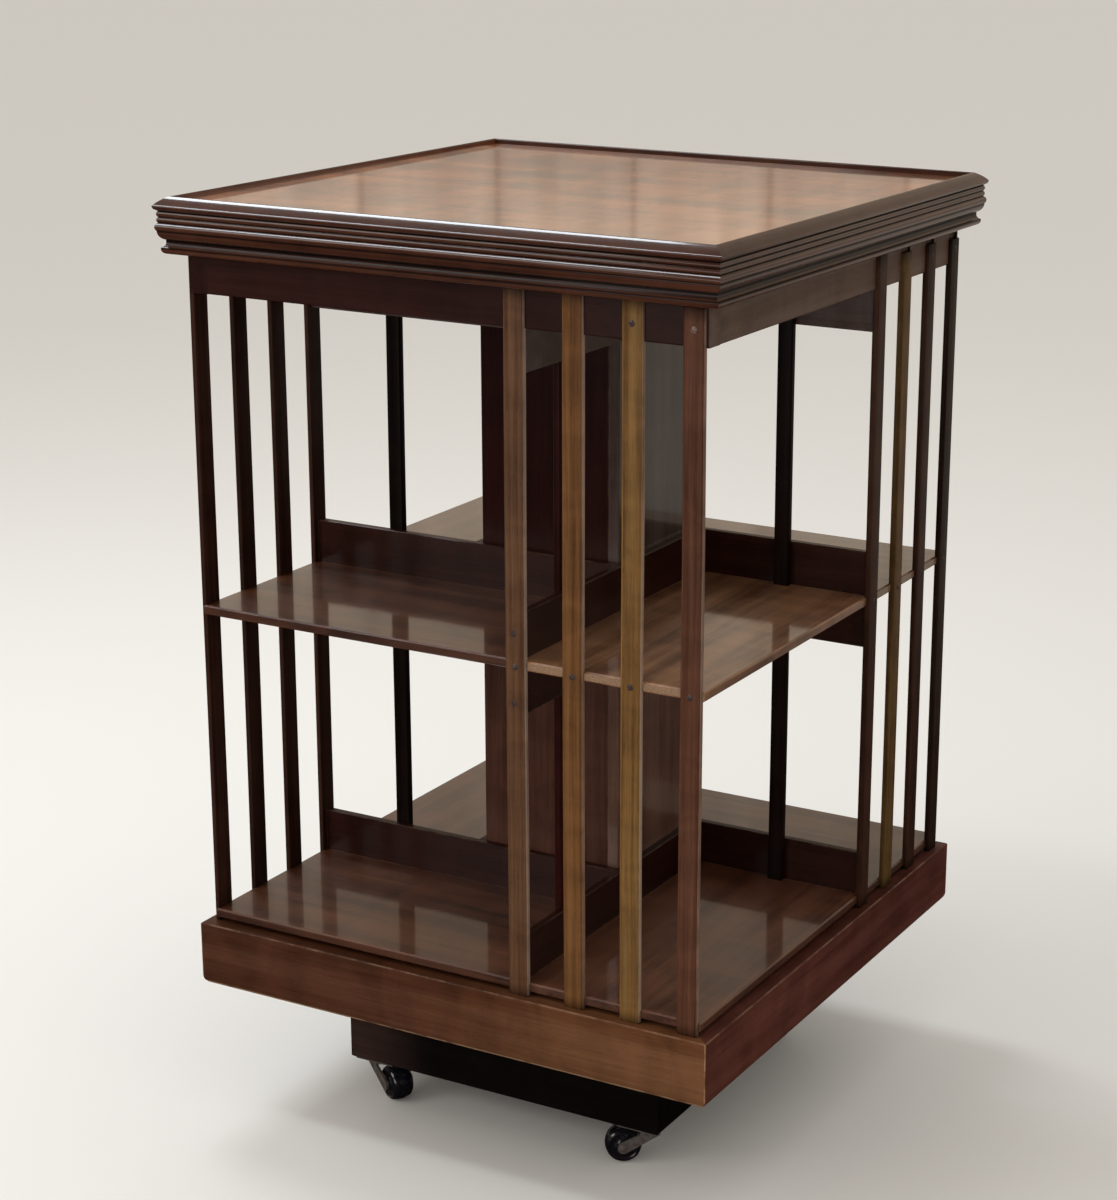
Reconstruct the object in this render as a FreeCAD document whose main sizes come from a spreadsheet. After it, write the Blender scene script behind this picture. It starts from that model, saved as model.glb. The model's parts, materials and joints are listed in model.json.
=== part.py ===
import FreeCAD, Part
import math
import os
import re

import Sketcher
from FreeCAD import Placement, Rotation, Vector

# Revolving bookcase of two tiers on a castored base.
# Millimetres, +Z up, the origin on the floor under the middle of the case.
#
# The case is the same on its four faces: every board is drawn once as it stands on the front
# (-Y) face and is placed again by quarter turns about the vertical shaft.

SIZES = {
    # the case as a whole
    "case_side": 477.0,             # across the case, over the faces of the slats
    "top_overhang": 19.5,           # from the apron to the nose of the moulding
    "plinth_ledge": 9.75,           # from the edge of the bottom shelf to the face of the plinth
    "lower_tier": 264.5,            # clear height for the books of the lower tier
    "upper_tier": 262.5,            # the same above, up to the apron
    # outer slats
    "slat_width": 18.0,
    "slat_thickness": 5.0,
    "slat_proud": 3.0,              # how far a slat stands out of the shelf edges
    "slat_pitch": 51.4,
    "slat_count": 4,
    "corner_inset": 2.0,            # from the corner of the shelf to the first slat
    "slat_ease": 1.5,
    "slat_head_gap": 4.0,           # from the head of a slat to the moulding above it
    # inner slats
    "mid_slat_width": 14.0,
    "mid_slat_thickness": 7.0,
    "mid_slat_shift": 5.0,          # off the middle of its rail, away from the column
    "mid_slat_ease": 1.2,
    # shelves and book rails
    "shelf_thickness": 8.0,
    "shelf_ease": 1.2,
    "rail_thickness": 7.0,
    "rail_height": 38.0,            # how far a book rail stands above or hangs below its shelf
    "rail_ease": 0.7,
    "top_rail_drop": 36.0,          # how far a top rail hangs below the apron
    # column
    "column_thickness": 10.0,
    "column_ease": 0.7,
    # apron and top board
    "apron_height": 58.0,
    "apron_thickness": 18.0,
    "apron_ease": 1.0,
    "top_board_thickness": 15.0,
    # edge moulding, measured in and down from the nose and the crest of the rim
    "rim_height": 4.5,              # the crest over the top board
    "rim_width": 11.5,              # nose to the inner wall of the rim
    "rim_ease": 0.7,
    "nose_width": 10.0,
    "nose_height": 7.4,
    "nose_bulge": 1.5,
    "nose_lip": 2.2,
    "nose_lip_inset": 0.9,
    "quirk_height": 1.6,
    "small_bead_height": 4.8,
    "small_bead_inset": 3.6,
    "small_bead_bulge": 1.2,
    "big_bead_height": 6.4,
    "big_bead_inset": 2.4,
    "big_bead_bulge": 1.6,
    "ovolo_height": 7.2,
    "ovolo_inset": 7.4,
    "ovolo_bulge": 1.5,
    "cove_fillet": 1.4,
    "cove_height": 4.8,
    "cove_bulge": 1.1,
    "foot_inset": 4.3,
    "foot_height": 1.8,
    "foot_round_height": 3.3,
    "foot_round_width": 4.1,
    "foot_bulge": 1.0,
    # plinth and case floor
    "plinth_height": 58.0,
    "plinth_thickness": 20.0,
    "plinth_ease": 0.9,
    "plinth_foot_round": 9.0,
    "shadow_gap": 3.5,              # between the plinth and the bottom shelf
    "floor_board_thickness": 20.0,
    "turning_gap": 12.0,            # between the fixed base and the case floor
    # pivot
    "shaft_radius": 9.5,
    "spigot_radius": 6.0,
    "spigot_length": 15.0,
    "running_clearance": 0.05,
    "thrust_clearance": 0.2,
    "flange_side": 92.0,
    "flange_thickness": 5.0,
    "flange_boss_radius": 18.0,
    "flange_boss_height": 9.0,
    "bush_plate_side": 54.0,
    "bush_plate_thickness": 3.0,
    "bush_wall": 5.5,
    "bearing_block_thickness": 25.0,
    "cup_plate_side": 54.0,
    "cup_plate_thickness": 4.0,
    "cup_wall": 6.0,
    "cup_height": 20.0,
    # base
    "base_side": 310.0,
    "base_rail_height": 97.0,
    "base_rail_thickness": 18.0,
    "base_ease": 1.4,
    "base_board_thickness": 18.0,
    "corner_block": 42.0,
    # castors
    "castor_height": 36.0,
    "swivel_inset": 22.0,           # from the faces of the base box to a swivel
    "castor_plate_side": 38.0,
    "castor_plate_thickness": 2.0,
    "race_radius": 10.0,
    "race_height": 2.8,
    "kingpin_radius": 3.0,
    "kingpin_head_radius": 5.0,
    "kingpin_head_height": 1.9,
    "swivel_clearance": 0.3,
    "fork_thickness": 2.2,
    "fork_back": 11.0,
    "fork_front": 6.0,
    "castor_trail": 20.0,
    "axle_radius": 2.5,
    "axle_boss": 5.0,
    "wheel_radius": 16.0,
    "wheel_width": 19.0,
    "wheel_gap": 1.6,
    "trail_angle_one": -28.0,       # left front castor, degrees from +X
    "trail_angle_two": 210.0,       # right front
    "trail_angle_three": 145.0,     # right back
    "trail_angle_four": 60.0,       # left back
    # tooling
    "cut_margin": 1.0,              # how far a cut runs past the face that it starts from
}

QUARTER_ARC = "(1 - sqrt(2) / 2)"   # rise of a quarter circle over its chord, per unit of radius

# lines in the plan, measured out from the middle of the case
HALF_CASE = "(case_side / 2)"
SHELF_EDGE = "(case_side / 2 - slat_proud)"
SLAT_BACK = "(case_side / 2 - slat_thickness)"
FIRST_SLAT = f"({SHELF_EDGE} - corner_inset)"
RAIL_LINE = f"({FIRST_SLAT} - slat_width / 2 - (slat_count - 1) * slat_pitch)"
RAIL_FRONT = f"({RAIL_LINE} + rail_thickness / 2)"
COLUMN = f"({RAIL_LINE} - rail_thickness / 2)"
COLUMN_INSIDE = f"({COLUMN} - column_thickness)"
MID_SLAT_FAR = f"(({COLUMN} + {SLAT_BACK} + mid_slat_width) / 2 + mid_slat_shift)"
MID_SLAT_NEAR = f"({MID_SLAT_FAR} - mid_slat_width)"
MID_SLAT_BACK = f"({COLUMN} - mid_slat_thickness)"
APRON_INSIDE = f"({SHELF_EDGE} - apron_thickness)"
HALF_TOP = f"({SHELF_EDGE} + top_overhang)"
HALF_PLINTH = f"({SHELF_EDGE} + plinth_ledge)"
PLINTH_INSIDE = f"({HALF_PLINTH} - plinth_thickness)"
HALF_BASE = "(base_side / 2)"
BASE_INSIDE = "(base_side / 2 - base_rail_thickness)"
SWIVEL = "(base_side / 2 - swivel_inset)"

# levels above the floor
BASE_LOW = "castor_height"
BASE_BOARD_LOW = "(castor_height + base_rail_height)"
BASE_TOP = f"({BASE_BOARD_LOW} + base_board_thickness)"
FLOOR_LOW = f"({BASE_TOP} + turning_gap)"
FLOOR_TOP = f"({FLOOR_LOW} + floor_board_thickness)"
PLINTH_TOP = f"({FLOOR_TOP} - shadow_gap)"
PLINTH_LOW = f"({PLINTH_TOP} - plinth_height)"
BOTTOM_SHELF = f"({FLOOR_TOP} + shelf_thickness)"
MIDDLE_LOW = f"({BOTTOM_SHELF} + lower_tier)"
MIDDLE_SHELF = f"({MIDDLE_LOW} + shelf_thickness)"
APRON_LOW = f"({MIDDLE_SHELF} + upper_tier)"
APRON_TOP = f"({APRON_LOW} + apron_height)"
TABLE = f"({APRON_TOP} + top_board_thickness)"
RIM = f"({TABLE} + rim_height)"
BLOCK_LOW = f"({APRON_TOP} - bearing_block_thickness)"
CUP_LOW = f"({BLOCK_LOW} - cup_plate_thickness)"
SHAFT_SHOULDER = f"({CUP_LOW} - thrust_clearance)"

# depths of the moulding's members below the crest of the rim
LIP_LOW = "(nose_height + nose_lip)"
BEADS_TOP = f"({LIP_LOW} + quirk_height)"
BEADS_MIDDLE = f"({BEADS_TOP} + small_bead_height)"
BIG_BEAD_TOP = f"({BEADS_MIDDLE} + small_bead_height)"
OVOLO_TOP = f"({BIG_BEAD_TOP} + big_bead_height)"
OVOLO_LOW = f"({OVOLO_TOP} + ovolo_height)"
COVE_TOP = f"({OVOLO_LOW} + cove_fillet)"
FOOT_TOP = f"({COVE_TOP} + cove_height)"
FOOT_LOW = f"({FOOT_TOP} + foot_height)"
MOULDING_LOW = f"({FOOT_LOW} + foot_round_height)"
SLAT_HEAD = f"({RIM} - {MOULDING_LOW} - slat_head_gap)"

# castor levels
CASTOR_PLATE_LOW = "(castor_height - castor_plate_thickness)"
RACE_LOW = f"({CASTOR_PLATE_LOW} - race_height)"
FORK_TOP = f"({RACE_LOW} - swivel_clearance)"
FORK_HEAD_LOW = f"({FORK_TOP} - fork_thickness)"
KINGPIN_HEAD_TOP = f"({FORK_HEAD_LOW} - swivel_clearance)"
ARM_INSIDE = "(wheel_width / 2 + wheel_gap)"
ARM_OUTSIDE = f"({ARM_INSIDE} + fork_thickness)"

FACES = ["front", "right", "back", "left"]
TRAIL_ANGLES = ["trail_angle_one", "trail_angle_two", "trail_angle_three", "trail_angle_four"]
CASTOR_SIGNS = [(-1, -1), (1, -1), (1, 1), (-1, 1)]

doc = FreeCAD.newDocument("RevolvingBookcase")
nodes = {}


def make_sheet():
    """The spreadsheet with one named cell for each driving dimension."""
    made = doc.addObject("Spreadsheet::Sheet", "Sizes")
    for number, (name, value) in enumerate(SIZES.items(), start=1):
        made.set(f"A{number}", name.replace("_", " "))
        made.set(f"B{number}", str(value))
        made.setAlias(f"B{number}", name)
    doc.recompute()
    return made


sheet = make_sheet()


# ---------------------------------------------------------------- sizes and expressions

def tied(text):
    """The expression with the name of each size pointed at its cell."""
    return re.sub(r"[a-z_]+", lambda word: "Sizes." + word[0] if word[0] in SIZES else word[0], text)


def size(text):
    """The value of an expression in the names of the sizes."""
    return float(sheet.evalExpression(text))


# ---------------------------------------------------------------- sketches

def add_line(drawing, start, end):
    index = drawing.addGeometry(Part.LineSegment(start, end), False)
    return (index, 1), (index, 2)


def add_arc(drawing, start, end, centre_side, bulge):
    """An arc of the given rise over its chord; the sketcher keeps it counter-clockwise."""
    chord = end - start
    radius = chord.Length ** 2 / (8 * bulge) + bulge / 2
    to_left = Vector(-chord.y, chord.x, 0) / chord.Length
    sign = 1 if centre_side == "left" else -1
    centre = (start + end) / 2 + to_left * (sign * (radius - bulge))
    first, last = (start, end) if centre_side == "left" else (end, start)
    turn_from = math.atan2(first.y - centre.y, first.x - centre.x)
    turn_to = math.atan2(last.y - centre.y, last.x - centre.x)
    if turn_to < turn_from:
        turn_to += 2 * math.pi
    circle = Part.Circle(centre, Vector(0, 0, 1), radius)
    index = drawing.addGeometry(Part.ArcOfCircle(circle, turn_from, turn_to), False)
    if centre_side == "left":
        return (index, 1), (index, 2)
    return (index, 2), (index, 1)


def add_loop(drawing, corners):
    """A closed loop, each of its corners tied to the sheet.

    A corner is (x, y), with a straight run to the next corner, or (x, y, side, bulge), with an arc
    that rises by the bulge over its chord and has its centre on that side of the run. A loop that
    runs counter-clockwise is rounded outwards by "left" and hollowed by "right".
    """
    points = [Vector(size(corner[0]), size(corner[1]), 0) for corner in corners]
    starts, ends = [], []
    for number, corner in enumerate(corners):
        after = (number + 1) % len(corners)
        if len(corner) == 2:
            start, end = add_line(drawing, points[number], points[after])
        else:
            side, bulge = corner[2:]
            start, end = add_arc(drawing, points[number], points[after], side, size(bulge))
            run_x = f"({corners[after][0]} - {corner[0]})"
            run_y = f"({corners[after][1]} - {corner[1]})"
            radius = f"({run_x}^2 + {run_y}^2) / (8 * {bulge}) + {bulge} / 2"
            rule = drawing.addConstraint(Sketcher.Constraint("Radius", start[0], size(radius)))
            drawing.setExpression(f"Constraints[{rule}]", tied(radius))
        starts.append(start)
        ends.append(end)
    for number, corner in enumerate(corners):
        drawing.addConstraint(Sketcher.Constraint("Coincident", *ends[number - 1], *starts[number]))
        for kind, text in (("DistanceX", corner[0]), ("DistanceY", corner[1])):
            constraint = Sketcher.Constraint(kind, -1, 1, *starts[number], size(text))
            rule = drawing.addConstraint(constraint)
            drawing.setExpression(f"Constraints[{rule}]", tied(text))


def add_circle(drawing, x, y, radius):
    """A whole circle, its centre and radius tied to the sheet."""
    circle = Part.Circle(Vector(size(x), size(y), 0), Vector(0, 0, 1), size(radius))
    index = drawing.addGeometry(circle, False)
    for kind, text in (("DistanceX", x), ("DistanceY", y)):
        rule = drawing.addConstraint(Sketcher.Constraint(kind, -1, 1, index, 3, size(text)))
        drawing.setExpression(f"Constraints[{rule}]", tied(text))
    rule = drawing.addConstraint(Sketcher.Constraint("Radius", index, size(radius)))
    drawing.setExpression(f"Constraints[{rule}]", tied(radius))


def origin_feature(owner, role):
    """A plane or an axis of the body's own origin."""
    return next(item for item in owner.Origin.OriginFeatures if item.Role == role)


def draw(owner, plane, shapes, start="0"):
    """A sketch on one of the body's planes, moved to a start along the plane's positive axis."""
    drawing = owner.newObject("Sketcher::SketchObject", owner.Label + "_sketch")
    drawing.AttachmentSupport = [(origin_feature(owner, plane), "")]
    drawing.MapMode = "FlatFace"
    away = f"-({start})" if plane == "XZ_Plane" else start
    drawing.setExpression("AttachmentOffset.Base.z", tied(away))
    for shape in shapes:
        if shape[0] == "circle":
            add_circle(drawing, *shape[1:])
        else:
            add_loop(drawing, shape)
    drawing.recompute()
    return drawing


# ---------------------------------------------------------------- solids

def new_body(label):
    made = doc.addObject("PartDesign::Body", label)
    made.Label = label
    return made


def prism(owner, plane, shapes, start, length):
    """Adds the shapes, extruded from start over length towards the plane's positive axis."""
    made = owner.newObject("PartDesign::Pad", owner.Label + "_pad")
    made.Profile = draw(owner, plane, shapes, start)
    made.Reversed = plane == "XZ_Plane"
    made.setExpression("Length", tied(length))
    made.recompute()
    return made


def cut(owner, plane, shapes, start, length):
    """Takes the shapes away from start over length towards the plane's positive axis."""
    before = owner.Tip.Shape.Volume
    made = owner.newObject("PartDesign::Pocket", owner.Label + "_cut")
    made.Profile = draw(owner, plane, shapes, start)
    made.Reversed = plane != "XZ_Plane"
    made.setExpression("Length", tied(length))
    made.recompute()
    if not made.Shape.Volume < before:
        raise RuntimeError(f"{owner.Label}: a cut takes nothing away")
    return made


def turned(owner, corners):
    """A solid of revolution about the body's Z axis, from its half section in X and Z."""
    drawing = draw(owner, "XZ_Plane", [corners])
    made = owner.newObject("PartDesign::Revolution", owner.Label + "_turned")
    made.Profile = drawing
    made.ReferenceAxis = (drawing, ["V_Axis"])
    made.Angle = 360
    made.recompute()
    return made


def eased(owner, width, chosen):
    """Takes the sharpness off the edges of the body's last feature that the test picks."""
    base = owner.Tip
    names = [f"Edge{n}" for n, edge in enumerate(base.Shape.Edges, start=1) if chosen(edge)]
    made = owner.newObject("PartDesign::Chamfer", owner.Label + "_eased")
    made.Base = (base, names)
    made.setExpression("Size", tied(width))
    made.recompute()
    return made


def row(owner, features, axis, length, count, backwards=False):
    """Repeats features along an axis of the body."""
    made = owner.newObject("PartDesign::LinearPattern", owner.Label + "_row")
    made.Originals = features
    made.Direction = (origin_feature(owner, axis), [""])
    made.Reversed = backwards
    made.setExpression("Length", tied(length))
    made.setExpression("Occurrences", tied(count))
    owner.Tip = made
    made.recompute()
    return made


def ring(owner, features, count):
    """Repeats features round the body's Z axis."""
    made = owner.newObject("PartDesign::PolarPattern", owner.Label + "_ring")
    made.Originals = features
    made.Axis = (origin_feature(owner, "Z_Axis"), [""])
    made.Angle = 360
    made.Occurrences = count
    owner.Tip = made
    made.recompute()
    return made


def rectangle(left, low, right, high):
    return [(left, low), (right, low), (right, high), (left, high)]


def centred_square(half):
    return rectangle(f"-{half}", f"-{half}", half, half)


def eased_below(left, low, right, high, ease):
    """A rectangle whose two low corners are taken off."""
    return [
        (f"({left} + {ease})", low),
        (f"({right} - {ease})", low),
        (right, f"({low} + {ease})"),
        (right, high),
        (left, high),
        (left, f"({low} + {ease})"),
    ]


def eased_above(left, low, right, high, ease):
    """A rectangle whose two high corners are taken off."""
    return [
        (left, low),
        (right, low),
        (right, f"({high} - {ease})"),
        (f"({right} - {ease})", high),
        (f"({left} + {ease})", high),
        (left, f"({high} - {ease})"),
    ]


def mitre(owner, outside, inside, low, high):
    """Cuts both ends of a board on the front face at 45 degrees."""
    far = f"({outside} + cut_margin)"
    near = f"({inside} - cut_margin)"
    left_end = [(f"-{far}", f"-{far}"), (f"-{near}", f"-{near}"), (f"-{far}", f"-{near}")]
    right_end = [(far, f"-{far}"), (far, f"-{near}"), (near, f"-{near}")]
    length = f"({high} - {low} + 2 * cut_margin)"
    cut(owner, "XY_Plane", [left_end, right_end], f"({low} - cut_margin)", length)


def quarter_turned(owner, quarter):
    owner.Placement = Placement(Vector(0, 0, 0), Rotation(Vector(0, 0, 1), 90 * quarter))
    return owner


def keep(made):
    """Takes the object as one node of the part."""
    nodes[made.Label] = made


def group(label, members):
    """One node that holds several separate solids."""
    made = doc.addObject("Part::Compound", label)
    made.Label = label
    made.Links = members
    keep(made)


# ---------------------------------------------------------------- top

def moulding_point(inset, depth):
    """A corner of the moulding's section, in and down from the nose and the crest."""
    return f"-({HALF_TOP} - {inset})", f"({RIM} - {depth})"


def top_moulding(label):
    """One mitred length of the edge moulding: rim, nose, beads, ovolo, cove and foot.

    It is rebated over the edge of the top board and covers the upper part of the apron.
    """
    board_low = "(rim_height + top_board_thickness)"
    apron_inset = f"({HALF_TOP} - {SHELF_EDGE})"
    section = [
        moulding_point("rim_width", board_low),
        moulding_point("rim_width", "rim_ease"),
        moulding_point("(rim_width - rim_ease)", "0"),
        moulding_point("nose_width", "0") + ("left", "nose_bulge"),
        moulding_point("0", "nose_height"),
        moulding_point("nose_lip_inset", LIP_LOW),
        moulding_point("small_bead_inset", BEADS_TOP) + ("left", "small_bead_bulge"),
        moulding_point("small_bead_inset", BEADS_MIDDLE) + ("left", "small_bead_bulge"),
        moulding_point("small_bead_inset", BIG_BEAD_TOP),
        moulding_point("big_bead_inset", BIG_BEAD_TOP) + ("left", "big_bead_bulge"),
        moulding_point("big_bead_inset", OVOLO_TOP) + ("left", "ovolo_bulge"),
        moulding_point("ovolo_inset", OVOLO_LOW),
        moulding_point("ovolo_inset", COVE_TOP) + ("right", "cove_bulge"),
        moulding_point("foot_inset", FOOT_TOP),
        moulding_point("foot_inset", FOOT_LOW) + ("left", "foot_bulge"),
        moulding_point("(foot_inset + foot_round_width)", MOULDING_LOW),
        moulding_point(apron_inset, MOULDING_LOW),
        moulding_point(apron_inset, board_low),
    ]
    owner = new_body(label)
    prism(owner, "YZ_Plane", [section], f"-{HALF_TOP}", f"(2 * {HALF_TOP})")
    mitre(owner, HALF_TOP, SHELF_EDGE, f"({RIM} - {MOULDING_LOW})", RIM)
    return owner


def top_panel():
    """The flat board that the rim surrounds."""
    owner = new_body("top_panel")
    square = centred_square(f"({HALF_TOP} - rim_width)")
    prism(owner, "XY_Plane", [square], APRON_TOP, "top_board_thickness")
    return owner


def apron(label):
    """A board under the top, butted to its neighbours, with a notch for each slat."""
    owner = new_body(label)
    section = [
        (f"-({SHELF_EDGE} - apron_ease)", APRON_LOW),
        (f"-{APRON_INSIDE}", APRON_LOW),
        (f"-{APRON_INSIDE}", APRON_TOP),
        (f"-{SHELF_EDGE}", APRON_TOP),
        (f"-{SHELF_EDGE}", f"({APRON_LOW} + apron_ease)"),
    ]
    prism(owner, "YZ_Plane", [section], f"-{APRON_INSIDE}", f"({APRON_INSIDE} + {SHELF_EDGE})")
    outside = f"-({SHELF_EDGE} + cut_margin)"
    notch = rectangle(f"({FIRST_SLAT} - slat_width)", outside, FIRST_SLAT, f"-{SLAT_BACK}")
    notch_height = f"({SLAT_HEAD} - {APRON_LOW} + cut_margin)"
    first = cut(owner, "XY_Plane", [notch], f"({APRON_LOW} - cut_margin)", notch_height)
    row(owner, [first], "X_Axis", "((slat_count - 1) * slat_pitch)", "slat_count", backwards=True)
    return owner


# ---------------------------------------------------------------- slats

def outer_slats(label):
    """The slats at the right-hand end of a face, standing on the ledge of the plinth."""
    owner = new_body(label)
    section = eased_below(
        f"({FIRST_SLAT} - slat_width)", f"-{HALF_CASE}", FIRST_SLAT, f"-{SLAT_BACK}", "slat_ease")
    first = prism(owner, "XY_Plane", [section], PLINTH_TOP, f"({SLAT_HEAD} - {PLINTH_TOP})")
    row(owner, [first], "X_Axis", "((slat_count - 1) * slat_pitch)", "slat_count", backwards=True)
    return owner


def mid_slats():
    """The narrow slats behind the rails, from the case floor to the top, let into both shelves."""
    owner = new_body("mid_slats")
    section = eased_above(
        f"-{MID_SLAT_FAR}", f"-{COLUMN}", f"-{MID_SLAT_NEAR}", f"-{MID_SLAT_BACK}", "mid_slat_ease")
    first = prism(owner, "XY_Plane", [section], FLOOR_TOP, f"({APRON_TOP} - {FLOOR_TOP})")
    ring(owner, [first], 4)
    return owner


# ---------------------------------------------------------------- shelves and rails

def shelf_board(label, low):
    """One of a shelf's four boards, notched for the outer slats of two faces and an inner slat."""
    owner = new_body(label)
    plan = rectangle(f"-{SHELF_EDGE}", f"-{SHELF_EDGE}", COLUMN, f"-{RAIL_FRONT}")
    prism(owner, "XY_Plane", [plan], low, "shelf_thickness")
    edge = -size(SHELF_EDGE)

    def outer_arris(found):
        ends = [vertex.Point for vertex in found.Vertexes]
        flat = abs(ends[0].z - ends[1].z) < 1e-6
        on_front = all(abs(end.y - edge) < 1e-6 for end in ends)
        on_left = all(abs(end.x - edge) < 1e-6 for end in ends)
        return flat and (on_front or on_left)

    eased(owner, "shelf_ease", outer_arris)
    outside = f"-({SHELF_EDGE} + cut_margin)"
    start, depth = f"({low} - cut_margin)", "(shelf_thickness + 2 * cut_margin)"
    side_notch = rectangle(outside, f"-{FIRST_SLAT}", f"-{SLAT_BACK}", f"-({FIRST_SLAT} - slat_width)")
    first = cut(owner, "XY_Plane", [side_notch], start, depth)
    row(owner, [first], "Y_Axis", "((slat_count - 1) * slat_pitch)", "slat_count")
    slat_side = f"({RAIL_LINE} - slat_width / 2)"
    front_notch = rectangle(slat_side, outside, f"({COLUMN} + cut_margin)", f"-{SLAT_BACK}")
    rail_side = f"({COLUMN} + cut_margin)"
    inner_notch = rectangle(MID_SLAT_BACK, f"-{MID_SLAT_FAR}", rail_side, f"-{MID_SLAT_NEAR}")
    cut(owner, "XY_Plane", [front_notch, inner_notch], start, depth)
    return owner


def middle_rail(label):
    """The deep rail between two boards of the middle shelf, standing above it and hanging below."""
    owner = new_body(label)
    section = eased_above(
        f"-{RAIL_FRONT}", f"({MIDDLE_LOW} - rail_height)",
        f"-{COLUMN}", f"({MIDDLE_SHELF} + rail_height)", "rail_ease")
    prism(owner, "YZ_Plane", [section], f"-{SLAT_BACK}", f"({SLAT_BACK} + {COLUMN})")
    return owner


def bottom_rail(label):
    """The rail between two boards of the bottom shelf, standing on the case floor."""
    owner = new_body(label)
    section = eased_above(
        f"-{RAIL_FRONT}", FLOOR_TOP, f"-{COLUMN}", f"({BOTTOM_SHELF} + rail_height)", "rail_ease")
    prism(owner, "YZ_Plane", [section], f"-{SLAT_BACK}", f"({SLAT_BACK} + {COLUMN})")
    return owner


def top_rail(label):
    """The rail that hangs under the top, its outer end notched round the apron."""
    owner = new_body(label)
    low = f"({APRON_LOW} - top_rail_drop)"
    side = [
        (f"-{SLAT_BACK}", low),
        (COLUMN, low),
        (COLUMN, APRON_TOP),
        (f"-{APRON_INSIDE}", APRON_TOP),
        (f"-{APRON_INSIDE}", APRON_LOW),
        (f"-{SLAT_BACK}", APRON_LOW),
    ]
    prism(owner, "XZ_Plane", [side], f"-{RAIL_FRONT}", "rail_thickness")
    return owner


# ---------------------------------------------------------------- column, plinth and case floor

def column_board(label):
    """One board of the square column, from the case floor to the top."""
    owner = new_body(label)
    plan = [
        (f"-({COLUMN} - column_ease)", f"-{COLUMN}"),
        (COLUMN_INSIDE, f"-{COLUMN}"),
        (COLUMN_INSIDE, f"-{COLUMN_INSIDE}"),
        (f"-{COLUMN}", f"-{COLUMN_INSIDE}"),
        (f"-{COLUMN}", f"-({COLUMN} - column_ease)"),
    ]
    prism(owner, "XY_Plane", [plan], FLOOR_TOP, f"({APRON_TOP} - {FLOOR_TOP})")
    return owner


def plinth_board(label):
    """A mitred plinth board, its lower edge well rounded."""
    owner = new_body(label)
    foot_bulge = f"(plinth_foot_round * {QUARTER_ARC})"
    section = [
        (f"-({HALF_PLINTH} - plinth_foot_round)", PLINTH_LOW),
        (f"-{PLINTH_INSIDE}", PLINTH_LOW),
        (f"-{PLINTH_INSIDE}", PLINTH_TOP),
        (f"-({HALF_PLINTH} - plinth_ease)", PLINTH_TOP),
        (f"-{HALF_PLINTH}", f"({PLINTH_TOP} - plinth_ease)"),
        (f"-{HALF_PLINTH}", f"({PLINTH_LOW} + plinth_foot_round)", "left", foot_bulge),
    ]
    prism(owner, "YZ_Plane", [section], f"-{HALF_PLINTH}", f"(2 * {HALF_PLINTH})")
    mitre(owner, HALF_PLINTH, PLINTH_INSIDE, PLINTH_LOW, PLINTH_TOP)
    return owner


def case_floor():
    """The board that ties the plinth, the bottom shelf and the column, bored for the guide bush."""
    owner = new_body("case_floor")
    bore = ("circle", "0", "0", "(shaft_radius + running_clearance + bush_wall)")
    prism(owner, "XY_Plane", [centred_square(PLINTH_INSIDE), bore], FLOOR_LOW, "floor_board_thickness")
    return owner


# ---------------------------------------------------------------- pivot

def bearing_block():
    """The block in the head of the column that holds the bearing cup."""
    owner = new_body("bearing_block")
    bore = ("circle", "0", "0", "(spigot_radius + running_clearance + cup_wall)")
    prism(owner, "XY_Plane", [centred_square(COLUMN_INSIDE), bore], BLOCK_LOW, "bearing_block_thickness")
    return owner


def bearing_cup():
    """The cup on a square plate that turns on the shaft's spigot and carries the case."""
    owner = new_body("bearing_cup")
    bore = "(spigot_radius + running_clearance)"
    plate = [centred_square("(cup_plate_side / 2)"), ("circle", "0", "0", bore)]
    prism(owner, "XY_Plane", plate, CUP_LOW, "cup_plate_thickness")
    wall = f"({bore} + cup_wall)"
    high = f"({BLOCK_LOW} + cup_height)"
    bore_top = f"({SHAFT_SHOULDER} + spigot_length + 2 * thrust_clearance)"
    turned(owner, [
        (bore, BLOCK_LOW),
        (wall, BLOCK_LOW),
        (wall, high),
        ("0", high),
        ("0", bore_top),
        (bore, bore_top),
    ])
    return owner


def guide_bush():
    """The bush under a square plate on the case floor that keeps the case upright on the shaft."""
    owner = new_body("guide_bush")
    bore = "(shaft_radius + running_clearance)"
    plate = [centred_square("(bush_plate_side / 2)"), ("circle", "0", "0", bore)]
    prism(owner, "XY_Plane", plate, FLOOR_TOP, "bush_plate_thickness")
    barrel = [("circle", "0", "0", f"({bore} + bush_wall)"), ("circle", "0", "0", bore)]
    prism(owner, "XY_Plane", barrel, FLOOR_LOW, "floor_board_thickness")
    return owner


def shaft():
    """The steel shaft, shouldered down to a spigot at its head."""
    owner = new_body("shaft")
    turned(owner, [
        ("0", BASE_BOARD_LOW),
        ("shaft_radius", BASE_BOARD_LOW),
        ("shaft_radius", SHAFT_SHOULDER),
        ("spigot_radius", SHAFT_SHOULDER),
        ("spigot_radius", f"({SHAFT_SHOULDER} + spigot_length)"),
        ("0", f"({SHAFT_SHOULDER} + spigot_length)"),
    ])
    return owner


def shaft_flange():
    """The cast flange that stands the shaft on the base board."""
    owner = new_body("shaft_flange")
    bore = ("circle", "0", "0", "(shaft_radius + running_clearance)")
    prism(owner, "XY_Plane", [centred_square("(flange_side / 2)"), bore], BASE_TOP, "flange_thickness")
    boss = ("circle", "0", "0", "flange_boss_radius")
    prism(owner, "XY_Plane", [boss, bore], BASE_TOP, "flange_boss_height")
    return owner


# ---------------------------------------------------------------- base

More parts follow.
